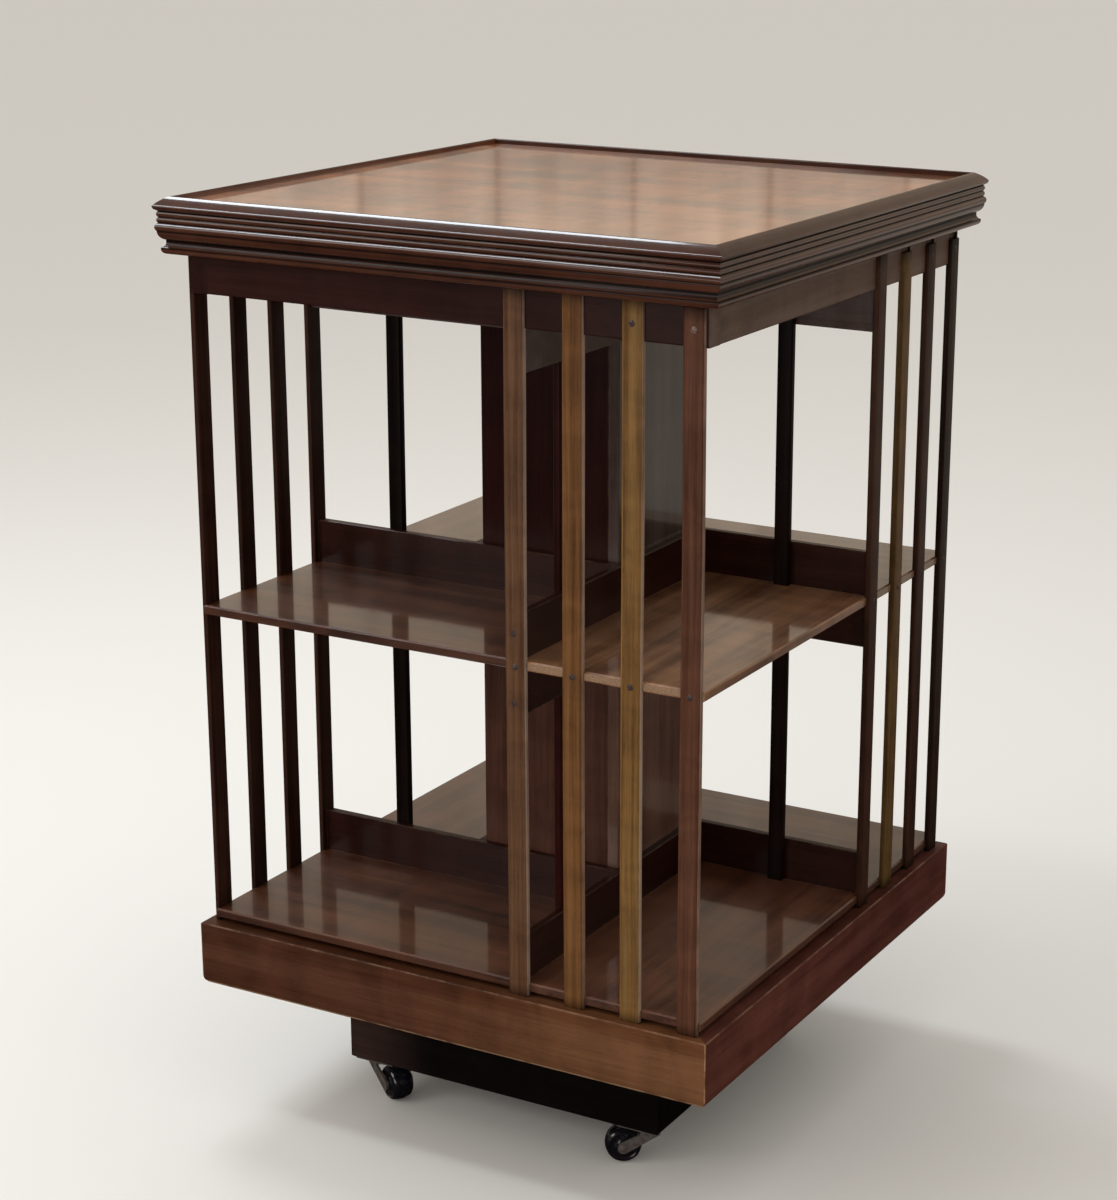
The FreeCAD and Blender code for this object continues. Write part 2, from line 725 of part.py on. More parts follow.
def base_rail():
    """A mitred side of the base box."""
    owner = new_body("base_rail")
    section = [
        (f"-({HALF_BASE} - base_ease)", BASE_LOW),
        (f"-{BASE_INSIDE}", BASE_LOW),
        (f"-{BASE_INSIDE}", BASE_BOARD_LOW),
        (f"-{HALF_BASE}", BASE_BOARD_LOW),
        (f"-{HALF_BASE}", f"({BASE_LOW} + base_ease)"),
    ]
    prism(owner, "YZ_Plane", [section], f"-{HALF_BASE}", "base_side")
    mitre(owner, HALF_BASE, BASE_INSIDE, BASE_LOW, BASE_BOARD_LOW)
    return owner


def base_board():
    """The board that closes the base box and carries the shaft."""
    owner = new_body("base_board")
    bore = ("circle", "0", "0", "(shaft_radius + running_clearance)")
    prism(owner, "XY_Plane", [centred_square(HALF_BASE), bore], BASE_BOARD_LOW, "base_board_thickness")
    return owner


def corner_blocks():
    """The blocks glued into the corners of the base box, over the castors."""
    owner = new_body("corner_blocks")
    near = f"({BASE_INSIDE} - corner_block)"
    plan = rectangle(near, near, BASE_INSIDE, BASE_INSIDE)
    first = prism(owner, "XY_Plane", [plan], BASE_LOW, "base_rail_height")
    ring(owner, [first], 4)
    return owner


# ---------------------------------------------------------------- castors

def at_swivel(owner, number, along_trail="0", height="0", tilt=0):
    """Sets a piece at its castor, turned to the castor's trail and moved along it."""
    side_x, side_y = CASTOR_SIGNS[number]
    angle = TRAIL_ANGLES[number]
    turn = Rotation(Vector(0, 0, 1), size(angle)) * Rotation(Vector(1, 0, 0), tilt)
    owner.Placement = Placement(Vector(0, 0, 0), turn)
    place_x = f"{side_x} * {SWIVEL} + {along_trail} * cos({angle} * 1deg)"
    place_y = f"{side_y} * {SWIVEL} + {along_trail} * sin({angle} * 1deg)"
    owner.setExpression("Placement.Base.x", tied(place_x))
    owner.setExpression("Placement.Base.y", tied(place_y))
    owner.setExpression("Placement.Base.z", tied(height))
    return owner


def castor_plate(number):
    """A castor's fixed plate, square with the base box, with its race and riveted kingpin."""
    owner = new_body(f"castor_plate_{number + 1}")
    square = centred_square("(castor_plate_side / 2)")
    prism(owner, "XY_Plane", [square], CASTOR_PLATE_LOW, "castor_plate_thickness")
    kingpin_low = f"({KINGPIN_HEAD_TOP} - kingpin_head_height)"
    turned(owner, [
        ("0", kingpin_low),
        ("kingpin_head_radius", kingpin_low),
        ("kingpin_head_radius", KINGPIN_HEAD_TOP),
        ("kingpin_radius", KINGPIN_HEAD_TOP),
        ("kingpin_radius", RACE_LOW),
        ("race_radius", RACE_LOW),
        ("race_radius", CASTOR_PLATE_LOW),
        ("0", CASTOR_PLATE_LOW),
    ])
    side_x, side_y = CASTOR_SIGNS[number]
    owner.setExpression("Placement.Base.x", tied(f"{side_x} * {SWIVEL}"))
    owner.setExpression("Placement.Base.y", tied(f"{side_y} * {SWIVEL}"))
    return owner


def castor_fork(number):
    """A pressed steel fork with its riveted axle, trailing towards the body's +X."""
    owner = new_body(f"castor_{number + 1}_fork")
    # the arms fall 5 in 12, so they end square across the boss on that slope
    side = [
        ("-fork_back", FORK_HEAD_LOW),
        ("(castor_trail - 5 / 13 * axle_boss)", "(wheel_radius - 12 / 13 * axle_boss)"),
        ("(castor_trail + 5 / 13 * axle_boss)", "(wheel_radius + 12 / 13 * axle_boss)"),
        ("fork_front", FORK_HEAD_LOW),
        ("fork_front", FORK_TOP),
        ("-fork_back", FORK_TOP),
    ]
    prism(owner, "XZ_Plane", [side], f"-{ARM_OUTSIDE}", f"(2 * {ARM_OUTSIDE})")
    boss = ("circle", "castor_trail", "wheel_radius", "axle_boss")
    prism(owner, "XZ_Plane", [boss], f"-{ARM_OUTSIDE}", f"(2 * {ARM_OUTSIDE})")
    far_end = "(castor_trail + axle_boss + cut_margin)"
    room = rectangle("-(fork_back + cut_margin)", "0", far_end, FORK_HEAD_LOW)
    cut(owner, "XZ_Plane", [room], f"-{ARM_INSIDE}", f"(2 * {ARM_INSIDE})")
    pin_hole = ("circle", "0", "0", "(kingpin_radius + running_clearance)")
    start, depth = f"({FORK_HEAD_LOW} - cut_margin)", "(fork_thickness + 2 * cut_margin)"
    cut(owner, "XY_Plane", [pin_hole], start, depth)
    axle = ("circle", "castor_trail", "wheel_radius", "axle_radius")
    prism(owner, "XZ_Plane", [axle], f"-{ARM_OUTSIDE}", f"(2 * {ARM_OUTSIDE})")
    return at_swivel(owner, number)


def castor_wheel(number):
    """A wheel bored for the axle; its own axis is the body's Z."""
    owner = new_body(f"castor_{number + 1}_wheel")
    tread = ("circle", "0", "0", "wheel_radius")
    bore = ("circle", "0", "0", "(axle_radius + running_clearance)")
    prism(owner, "XY_Plane", [tread, bore], "-(wheel_width / 2)", "wheel_width")
    return at_swivel(owner, number, "castor_trail", "wheel_radius", tilt=90)


# ---------------------------------------------------------------- the bookcase

for quarter, face in enumerate(FACES):
    keep(quarter_turned(top_moulding(f"top_moulding_{face}"), quarter))
    keep(quarter_turned(apron(f"apron_{face}"), quarter))
    keep(quarter_turned(outer_slats(f"slats_{face}"), quarter))
    keep(quarter_turned(shelf_board(f"middle_shelf_{face}", MIDDLE_LOW), quarter))
    keep(quarter_turned(shelf_board(f"bottom_shelf_{face}", FLOOR_TOP), quarter))
    keep(quarter_turned(middle_rail(f"middle_rail_{face}"), quarter))
    keep(quarter_turned(bottom_rail(f"bottom_rail_{face}"), quarter))
    keep(quarter_turned(column_board(f"column_board_{face}"), quarter))
    keep(quarter_turned(plinth_board(f"plinth_{face}"), quarter))
keep(top_panel())
keep(mid_slats())
keep(case_floor())
keep(bearing_block())
keep(bearing_cup())
keep(guide_bush())
rails = [quarter_turned(top_rail(f"top_rail_{face}"), quarter) for quarter, face in enumerate(FACES)]
group("top_rails", rails)

keep(shaft())
keep(shaft_flange())
keep(base_board())
keep(corner_blocks())
group("base_frame", [quarter_turned(base_rail(), quarter) for quarter in range(4)])

group("castor_plates", [castor_plate(number) for number in range(4)])
for number in range(4):
    keep(castor_fork(number))
    keep(castor_wheel(number))

doc.recompute()

for thing in doc.Objects:
    if "Invalid" in thing.State or "Error" in thing.State:
        raise RuntimeError(f"{thing.Label} failed: {thing.State}")
for label, thing in nodes.items():
    if thing.Shape.isNull() or not thing.Shape.isValid() or not thing.Shape.Solids:
        raise RuntimeError(f"{label} has no valid solid")

os.makedirs("parts", exist_ok=True)
for label, thing in nodes.items():
    thing.Shape.exportStep(f"parts/{label}.step")
print(len(nodes), "nodes,", sum(len(thing.Shape.Solids) for thing in nodes.values()), "solids")
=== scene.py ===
import json
import math

import bpy
import numpy as np
from mathutils import Matrix, Vector

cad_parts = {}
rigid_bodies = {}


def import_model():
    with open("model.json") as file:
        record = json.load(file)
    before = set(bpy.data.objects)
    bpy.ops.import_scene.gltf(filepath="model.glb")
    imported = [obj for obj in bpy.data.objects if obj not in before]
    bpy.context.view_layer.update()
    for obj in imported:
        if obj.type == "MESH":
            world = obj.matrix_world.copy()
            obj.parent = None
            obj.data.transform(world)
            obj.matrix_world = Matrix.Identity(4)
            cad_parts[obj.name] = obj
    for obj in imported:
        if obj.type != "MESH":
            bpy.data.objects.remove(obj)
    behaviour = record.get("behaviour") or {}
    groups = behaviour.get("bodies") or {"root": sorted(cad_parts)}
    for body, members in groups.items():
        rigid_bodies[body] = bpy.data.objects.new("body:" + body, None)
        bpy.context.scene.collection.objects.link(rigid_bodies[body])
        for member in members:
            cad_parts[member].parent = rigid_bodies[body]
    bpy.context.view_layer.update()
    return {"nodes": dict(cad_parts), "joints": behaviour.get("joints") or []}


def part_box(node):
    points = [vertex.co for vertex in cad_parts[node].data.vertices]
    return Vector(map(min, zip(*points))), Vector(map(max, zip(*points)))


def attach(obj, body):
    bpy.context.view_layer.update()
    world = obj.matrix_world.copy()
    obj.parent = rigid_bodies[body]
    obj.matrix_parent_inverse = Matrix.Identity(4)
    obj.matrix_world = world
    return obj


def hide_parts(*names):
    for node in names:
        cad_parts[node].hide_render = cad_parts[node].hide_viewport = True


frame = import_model()

# Metres, in the frame of the CAD: +Z up, -Y the front face. What stands on the front face is
# worked out once and repeated on the other faces by quarter turns about Z.

FACES = ["front", "right", "back", "left"]
CASTORS = range(1, 5)
JOINTS = {joint["name"]: joint for joint in frame["joints"]}
QUARTER_ARC = 1 - math.sqrt(0.5)    # rise of a quarter circle over its chord, per unit of radius
LENGTH_ROWS = 13                    # rows of points along a moulding or a slat
SCREW_STEPS = 40                    # points round the head of a screw
RIVET_STEPS = 32                    # round that of a rivet, and round a plug
WHEEL_STEPS = 96

# the top and its moulding
HALF_TOP = -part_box("top_moulding_front")[0].y
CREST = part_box("top_moulding_front")[1].z
RIM_WIDTH = 0.0115
RIM_ROUND = 0.0010
NOSE_WIDTH = 0.0100
NOSE_HEIGHT = 0.0074
NOSE_BULGE = 0.0006
NOSE_EDGE = 0.0006                  # the rounding of the nose's foremost edge
NOSE_LIP = 0.0022
NOSE_LIP_INSET = 0.0009
QUIRK_HEIGHT = 0.0016
SMALL_BEAD_HEIGHT = 0.0048
SMALL_BEAD_INSET = 0.0036
SMALL_BEAD_BULGE = 0.0012
BIG_BEAD_HEIGHT = 0.0064
BIG_BEAD_INSET = 0.0024
OVOLO_HEIGHT = 0.0072
OVOLO_INSET = 0.0074
OVOLO_BULGE = 0.0015
COVE_FILLET = 0.0014
COVE_HEIGHT = 0.0048
COVE_BULGE = 0.0011
FOOT_INSET = 0.0043
FOOT_HEIGHT = 0.0018
FOOT_ROUND_HEIGHT = 0.0033
FOOT_ROUND_WIDTH = 0.0041
FOOT_BULGE = 0.0010
SHOULDER_START = 0.0030             # the inset where the big bead's shoulder starts
SHOULDER_END = 0.0015               # and where it ends
SHOULDER_DROP = 0.0016              # from its start to its end
SHOULDER_BULGE = 0.00004
BEAD_BULGE_BELOW = 0.0008           # of the rest of the big bead
QUIRK_SHADING_REACH = 0.0016                # how far the painted shade, with old polish, spreads from the quirks
# the tone at the bottom of a quirk: painted shade
QUIRK_PAINTED_SHADE = 0.06
MOULDING_TONE = (68, 38, 25)
INNER_WALL_POINTS = 2               # the outline starts with those of the rim's inner wall
INNER_WALL_PAINTED_LIGHT = {"left": 2.6}    # how much lighter that wall is painted: painted light on the left length
PANEL_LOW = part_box("top_panel")[0].z
APRON_FACE = -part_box("apron_front")[0].y

# slats
SLATS_LOW, SLATS_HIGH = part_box("slats_front")
SLAT_WIDTH = 0.0180
SLAT_FACE_ROUND = 0.0019
SLAT_BACK_ROUND = 0.0008
SLAT_COUNT = 4
SLAT_PITCH = (SLATS_HIGH.x - SLATS_LOW.x - SLAT_WIDTH) / (SLAT_COUNT - 1)
MID_SLAT_WIDTH = 0.0140
MID_SLAT_THICKNESS = 0.0070
MID_SLAT_ROUND = 0.0015
MID_SLAT_SEED = 20.0
SLAT_BOW = 0.0003                   # how far a slat strays from a straight line
SLAT_END_ROUND = 0.0006
SLAT_END_SHRINK = 0.93
SLAT_END_DARK_REACH = 0.0110                 # how far the darkening reaches from the ends of a slat
SLAT_END_DARKNESS = 0.45
HEAD_RISES = {                      # how far each head was set off the common level by hand
    "front": (0.0028, 0.0030, 0.0027, 0.0020),
    "right": (0.0005, -0.0040, -0.0038, -0.0060),
    "back": (-0.0010, 0.0015, 0.0, -0.0020),
    "left": (0.0020, 0.0026, 0.0010, 0.0024),
}

# screws
SCREW_RADIUS = 0.0027
SCREW_DOME = 0.0008
SLOT_HALF = 0.00040
SLOT_DEPTH = 0.00045
APRON_SCREW_DROP = 0.0145           # from the head of a slat to its upper screw
APRON_SCREW_FROM = 2                # the first slat of a face that has such a screw
SHELF_SCREW_DROP = 0.0010           # from the middle of a shelf's edge to the screw in front of it
OLD_HOLES = (0.0270, -0.0300)       # two stopped holes above and below one of those screws
PLUG_SHIFT = 0.0010                 # how far they stand to the left of it
PLUG_DOME = 0.0002
DULL_SCREW = (84, 70, 68)
BRIGHT_SCREW = (136, 116, 104)
OLD_HOLE = (74, 58, 54)

# plates and castors
STEEL_TONE = (112, 108, 104)
FLANGE_THICKNESS = 0.0050
SHAFT_PLATE_SCREW = 0.036           # from the shaft to the screws of its flange, along X and Y
BUSH_PLATE_SCREW = 0.021
CASTOR_PLATE_SCREW = 0.0145
CASTOR_PLATE_THICKNESS = 0.0020
FORK_OUTSIDE = 0.0133               # from the middle of the wheel to the outside of an arm
RIVET_RADIUS = 0.0036
RIVET_DOME = 0.0010
WHEEL_RADIUS = 0.0160
WHEEL_HALF = 0.0095
GROOVE_DEPTH = 0.0016


# ------------------------------------------------------------------ shapes

def turned_by(points, quarter):
    """Points turned by quarter turns about Z: (x, y) becomes (-y, x) each time."""
    x, y, z = np.moveaxis(points, -1, 0)
    for _ in range(quarter % 4):
        x, y = -y, x
    return np.stack([x, y, z], axis=-1)


def arc(start, end, bulge, steps):
    """A run from start to end, its far end left out, that rises by the bulge to its right.

    With chord c and rise s, the radius is c^2 / 8s + s / 2; the points are at equal angles about the
    centre, which lies on the chord's middle line. A negative bulge hollows the run; none is straight.
    """
    start, end = np.array(start, float), np.array(end, float)
    if not bulge:
        return start[None, :]
    chord = end - start
    length = np.hypot(*chord)
    rise = abs(bulge)
    radius = length ** 2 / (8 * rise) + rise / 2
    out = np.array([chord[1], -chord[0]]) / length * np.sign(bulge)
    centre = (start + end) / 2 - out * (radius - rise)
    half = math.atan2(length / 2, radius - rise)
    angle = np.linspace(-half, half, steps + 1)[:-1, None]
    return centre + radius * (np.cos(angle) * out + np.sin(angle) * chord / length)


def mesh_piece(name, blocks, material, body, sharp=35):
    """One mesh of several grids, riding on a body.

    A block is (points, uv, tone): points is a rows x columns x 3 grid whose columns run round the
    surface and close on themselves, so uv has one column more; the first and the last row are
    each filled with a face. The tone is one colour, or a colour for each point of the grid.
    """
    vertices, faces, uvs, tones, base = [], [], [], [], 0
    for points, uv, tone in blocks:
        rows, columns = points.shape[:2]
        number = base + np.arange(rows * columns).reshape(rows, columns)
        ring = np.concatenate([number, number[:, :1]], axis=1)
        quads = np.stack([ring[:-1, :-1], ring[:-1, 1:], ring[1:, 1:], ring[1:, :-1]], axis=-1)
        faces += quads.reshape(-1, 4).tolist()
        corners = np.stack([uv[:-1, :-1], uv[:-1, 1:], uv[1:, 1:], uv[1:, :-1]], axis=2)
        uvs.append(corners.reshape(-1, 2))
        faces += [number[0, ::-1].tolist(), number[-1].tolist()]
        uvs += [uv[0, :-1][::-1], uv[-1, :-1]]
        tones.append(np.broadcast_to(tone, (rows, columns, 4)).reshape(-1, 4))
        vertices.append(points.reshape(-1, 3))
        base += rows * columns
    mesh = bpy.data.meshes.new(name)
    mesh.from_pydata(np.concatenate(vertices).tolist(), [], faces)
    layer = mesh.uv_layers.new(name="UVMap")
    layer.data.foreach_set("uv", np.concatenate(uvs).astype(np.float32).ravel())
    colours = mesh.color_attributes.new("tone", "FLOAT_COLOR", "POINT")
    colours.data.foreach_set("color", np.concatenate(tones).astype(np.float32).ravel())
    mesh.shade_smooth()
    mesh.set_sharp_from_angle(angle=math.radians(sharp))
    mesh.materials.append(material)
    piece = bpy.data.objects.new(name, mesh)
    bpy.context.scene.collection.objects.link(piece)
    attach(piece, body)
    return piece


def run_round(outline):
    """The distance round a closed outline to each of its points and back to the first."""
    closed = np.concatenate([outline, outline[:1]])
    return np.concatenate([[0], np.cumsum(np.hypot(*np.diff(closed, axis=0).T))])


def unrolled(along, across):
    """The UV grid of a run: U is the distance along it and V the distance round it."""
    return np.stack(np.meshgrid(along, across, indexing="ij"), axis=-1)


# ------------------------------------------------------------------ node groups

PATCH_SCALE = 55.0                  # points of noise to the metre, as every such scale is


def add(tree, kind, inputs=None, **settings):
    """The outputs of a new node, its settings set and its inputs joined to sockets or given values."""
    made = tree.nodes.new("ShaderNode" + kind)
    for name, value in settings.items():
        setattr(made, name, value)
    for name, value in (inputs or {}).items():
        if isinstance(value, bpy.types.NodeSocket):
            tree.links.new(value, made.inputs[name])
        else:
            made.inputs[name].default_value = value
    return made.outputs


def maths(tree, operation, *values):
    return add(tree, "Math", dict(enumerate(values)), operation=operation)[0]


def vectors(tree, operation, *values):
    return add(tree, "VectorMath", dict(enumerate(values)), operation=operation)[0]


def scaled(tree, vector, factor):
    return add(tree, "VectorMath", {0: vector, "Scale": factor}, operation="SCALE")[0]


def dot(tree, first, second):
    return add(tree, "VectorMath", {0: first, 1: second}, operation="DOT_PRODUCT")["Value"]


def part(tree, vector, axis):
    """The X, Y or Z of a vector, by the axis 0, 1 or 2."""
    return add(tree, "SeparateXYZ", {0: vector})[axis]


def ramp(tree, value, low, high, to_low=0.0, to_high=1.0):
    """Takes low..high smoothly to to_low..to_high."""
    inputs = {"Value": value, "From Min": low, "From Max": high, "To Min": to_low, "To Max": to_high}
    return add(tree, "MapRange", inputs, interpolation_type="SMOOTHSTEP")[0]


def mixed(tree, factor, first, second, blend="MIX"):
    """Two colours mixed by the factor; 6 and 7 are the node's colour inputs, and 2 its colour output."""
    return add(tree, "Mix", {0: factor, 6: first, 7: second}, data_type="RGBA", blend_type=blend)[2]


def noise(tree, place, scale, detail=3.0, roughness=0.5, distortion=0.0, output=0):
    inputs = {"Vector": place, "Scale": scale, "Detail": detail, "Roughness": roughness,
              "Distortion": distortion}
    return add(tree, "TexNoise", inputs)[output]


def rubbed_patches(tree, place, low, high, least):
    """Blotches in which a rubbed edge or line is worn through, from least to 1."""
    return ramp(tree, noise(tree, place, PATCH_SCALE, 5.0, 0.65), low, high, least, 1.0)


def new_group(name, inputs, outputs):
    """An empty node group with its named sockets; returns the tree, its input node and output node."""
    tree = bpy.data.node_groups.new(name, "ShaderNodeTree")
    for label, kind, value in inputs:
        socket = tree.interface.new_socket(label, in_out="INPUT", socket_type="NodeSocket" + kind)
        socket.default_value = value
    for label, kind in outputs:
        tree.interface.new_socket(label, in_out="OUTPUT", socket_type="NodeSocket" + kind)
    return tree, tree.nodes.new("NodeGroupInput").outputs, tree.nodes.new("NodeGroupOutput").inputs


# the timber's noises: points to the metre along the fibres, then twice across them
SWAY_SCALE = (3.0, 9.0, 9.0)
FIBRE_SCALE = (9.0, 420.0, 420.0)
PORE_SCALE = (110.0, 2300.0, 2300.0)
RIBBON_SCALE = (26.0, 11.0, 11.0)
STREAKS_ALONG = 2.6
END_PORES = 1500.0                  # to the metre, on the end grain
FIBRE_SHARE = 0.45                  # of the contrast
PORE_SHADE = -0.28
REDDENED = (1.0, 0.86, 0.76, 1.0)   # what the dark streaks are multiplied by
TAN = (0.36, 0.24, 0.14, 1.0)
TAN_SHARE = 0.35


def timber_group():
    """Polished hardwood: wandering streaks, fine fibre and dark pores along X, tan end grain."""
    tree, given, result = new_group(
        "Timber",
        [("Place", "Vector", (0, 0, 0)), ("Colour", "Color", (0.2, 0.1, 0.05, 1)),
         ("Contrast", "Float", 0.5), ("Streaks", "Float", 42.0), ("Wander", "Float", 0.012),
         ("Figure", "Float", 0.2), ("End", "Float", 0.0)],
        [("Colour", "Color"), ("Roughness", "Float"), ("Height", "Float")])
    place = given["Place"]

    def strewn(where, scale, *kind, **output):
        """Noise whose scale differs from axis to axis."""
        return noise(tree, vectors(tree, "MULTIPLY", where, scale), 1.0, *kind, **output)

    # the fibres stray sideways as they run
    sway = vectors(tree, "SUBTRACT", strewn(place, SWAY_SCALE, 2.0, output="Color"), (0.5, 0.5, 0.5))
    reach = add(tree, "CombineXYZ", {"Y": given["Wander"], "Z": given["Wander"]})[0]
    strayed = vectors(tree, "ADD", place, vectors(tree, "MULTIPLY", sway, reach))

    streak_scale = add(tree, "CombineXYZ", {
        "X": STREAKS_ALONG, "Y": given["Streaks"], "Z": given["Streaks"]})[0]
    broad = ramp(tree, strewn(strayed, streak_scale, 5.0, 0.62), 0.30, 0.70)
    lines = ramp(tree, strewn(strayed, FIBRE_SCALE, 2.0), 0.25, 0.75)
    pores = ramp(tree, strewn(strayed, PORE_SCALE, 1.0), 0.60, 0.72)

    # flame figure: ribbons that lie across the run of the fibres
    ribbons = ramp(tree, strewn(strayed, RIBBON_SCALE, 3.0, 0.5, 0.9), 0.35, 0.65, -0.5, 0.5)

    light = maths(tree, "MULTIPLY_ADD", maths(tree, "SUBTRACT", broad, 0.5), given["Contrast"], 1.0)
    light = maths(tree, "MULTIPLY_ADD", maths(tree, "SUBTRACT", lines, 0.5),
                  maths(tree, "MULTIPLY", given["Contrast"], FIBRE_SHARE), light)
    light = maths(tree, "MULTIPLY_ADD", ribbons, given["Figure"], light)
    light = maths(tree, "MULTIPLY_ADD", pores, PORE_SHADE, light)
    shaded = scaled(tree, given["Colour"], light)
    reddened = mixed(tree, 1.0, shaded, REDDENED, "MULTIPLY")
    along = mixed(tree, ramp(tree, broad, 0.0, 0.8), reddened, shaded)

    # on the ends of a board the pores are dots and the wood is tanned
    dots = ramp(tree, noise(tree, place, END_PORES, 2.0), 0.3, 0.7, 0.75, 1.45)
    tan = scaled(tree, mixed(tree, TAN_SHARE, given["Colour"], TAN), dots)
    tree.links.new(mixed(tree, given["End"], along, tan), result["Colour"])

    rough = maths(tree, "MULTIPLY_ADD", lines, 0.10, 0.34)
    tree.links.new(maths(tree, "MULTIPLY_ADD", given["End"], 0.15, rough), result["Roughness"])
    height = maths(tree, "MULTIPLY_ADD", pores, -0.7, maths(tree, "MULTIPLY", lines, 0.3))
    tree.links.new(height, result["Height"])
    return tree


def worn_arris_group():
    """Where a box-shaped piece is rubbed: near two of its six planes at once, broken up by noise."""
    tree, given, result = new_group(
        "Worn arris",
        [("Place", "Vector", (0, 0, 0)), ("Low", "Vector", (0, 0, 0)), ("High", "Vector", (1, 1, 1)),
         ("Width", "Float", 0.002)],
        [("Mask", "Float")])
    place = given["Place"]
    to_low = vectors(tree, "ABSOLUTE", vectors(tree, "SUBTRACT", place, given["Low"]))
    to_high = vectors(tree, "ABSOLUTE", vectors(tree, "SUBTRACT", given["High"], place))
    gaps = add(tree, "SeparateXYZ", {0: vectors(tree, "MINIMUM", to_low, to_high)})
    total = maths(tree, "ADD", maths(tree, "ADD", gaps[0], gaps[1]), gaps[2])
    largest = maths(tree, "MAXIMUM", maths(tree, "MAXIMUM", gaps[0], gaps[1]), gaps[2])
    near = maths(tree, "DIVIDE", maths(tree, "SUBTRACT", total, largest), given["Width"])
    rubbed = ramp(tree, near, 0.3, 1.0, 1.0, 0.0)
    patches = rubbed_patches(tree, place, 0.40, 0.60, 0.06)
    tree.links.new(maths(tree, "MULTIPLY", rubbed, patches), result["Mask"])
    return tree


TIMBER = timber_group()
WORN_ARRIS = worn_arris_group()


# ------------------------------------------------------------------ materials

def new_material(name, **settings):
    """A material with a Principled shader; the settings are constants on its own sockets."""
    material = bpy.data.materials.new(name)
    material.use_nodes = True
    tree = material.node_tree
    shader = tree.nodes["Principled BSDF"]
    for label, value in settings.items():
        shader.inputs[label.replace("_", " ")].default_value = value
    return material, tree, shader


def grouped(tree, group, inputs):
    """A node group placed in a material."""
    return add(tree, "Group", inputs, node_tree=group)


def object_place(tree):
    return add(tree, "TexCoord")["Object"]


def piece_tone(tree):
    return add(tree, "Attribute", attribute_name="tone", attribute_type="GEOMETRY")


def srgb(red, green, blue):
    """A colour written as it shows on a screen, 0 to 255, as linear light."""
    shown = np.array([red, green, blue]) / 255
    linear = np.where(shown <= 0.04045, shown / 12.92, ((shown + 0.055) / 1.055) ** 2.4)
    return tuple(linear) + (1.0,)


def join_surface(tree, shader, colour, roughness, height, distance, strength=0.5):
    """Joins a surface's colour, roughness and relief to the shader."""
    relief = add(tree, "Bump", {"Height": height, "Distance": distance, "Strength": strength})
    for label, socket in (("Base Color", colour), ("Roughness", roughness), ("Normal", relief[0])):
        tree.links.new(socket, shader.inputs[label])


def join_wood(tree, shader, wood, colour):
    join_surface(tree, shader, colour, wood["Roughness"], wood["Height"], FIBRE_RELIEF, 0.6)


GRAIN_TURN = {"X": (0, 0, 0), "Y": (0, 0, -math.pi / 2), "Z": (0, math.pi / 2, 0)}
SEED_SHIFT = (1.7, 0.9, 0.4)        # how far each seed takes a board through the timber
FIBRE_RELIEF = 0.00012
TARNISH_SCALE = 240.0
GRIT_SCALE = 1400.0
GRIT_RELIEF = 0.00005
DUST_SCALE = 180.0
SCUFF_SCALE = 900.0
SCUFF_RELIEF = 0.00004
WHEEL_BLACK = srgb(15, 16, 22)
WHEEL_DUST = srgb(52, 52, 56)
# the colour of the painted shade on the upright faces of a board
EDGE_PAINTED_SHADE = (20, 10, 8)
# pale worn wood, which also makes the painted highlight on a rounded foot
RUBBED_AND_LIT_WOOD = (176, 142, 112)
RUBBED_AND_LIT_SHARE = 0.55
FOOT_LINE = (0.0012, 0.0022)        # how far from its middle the line on a rounded foot fades out


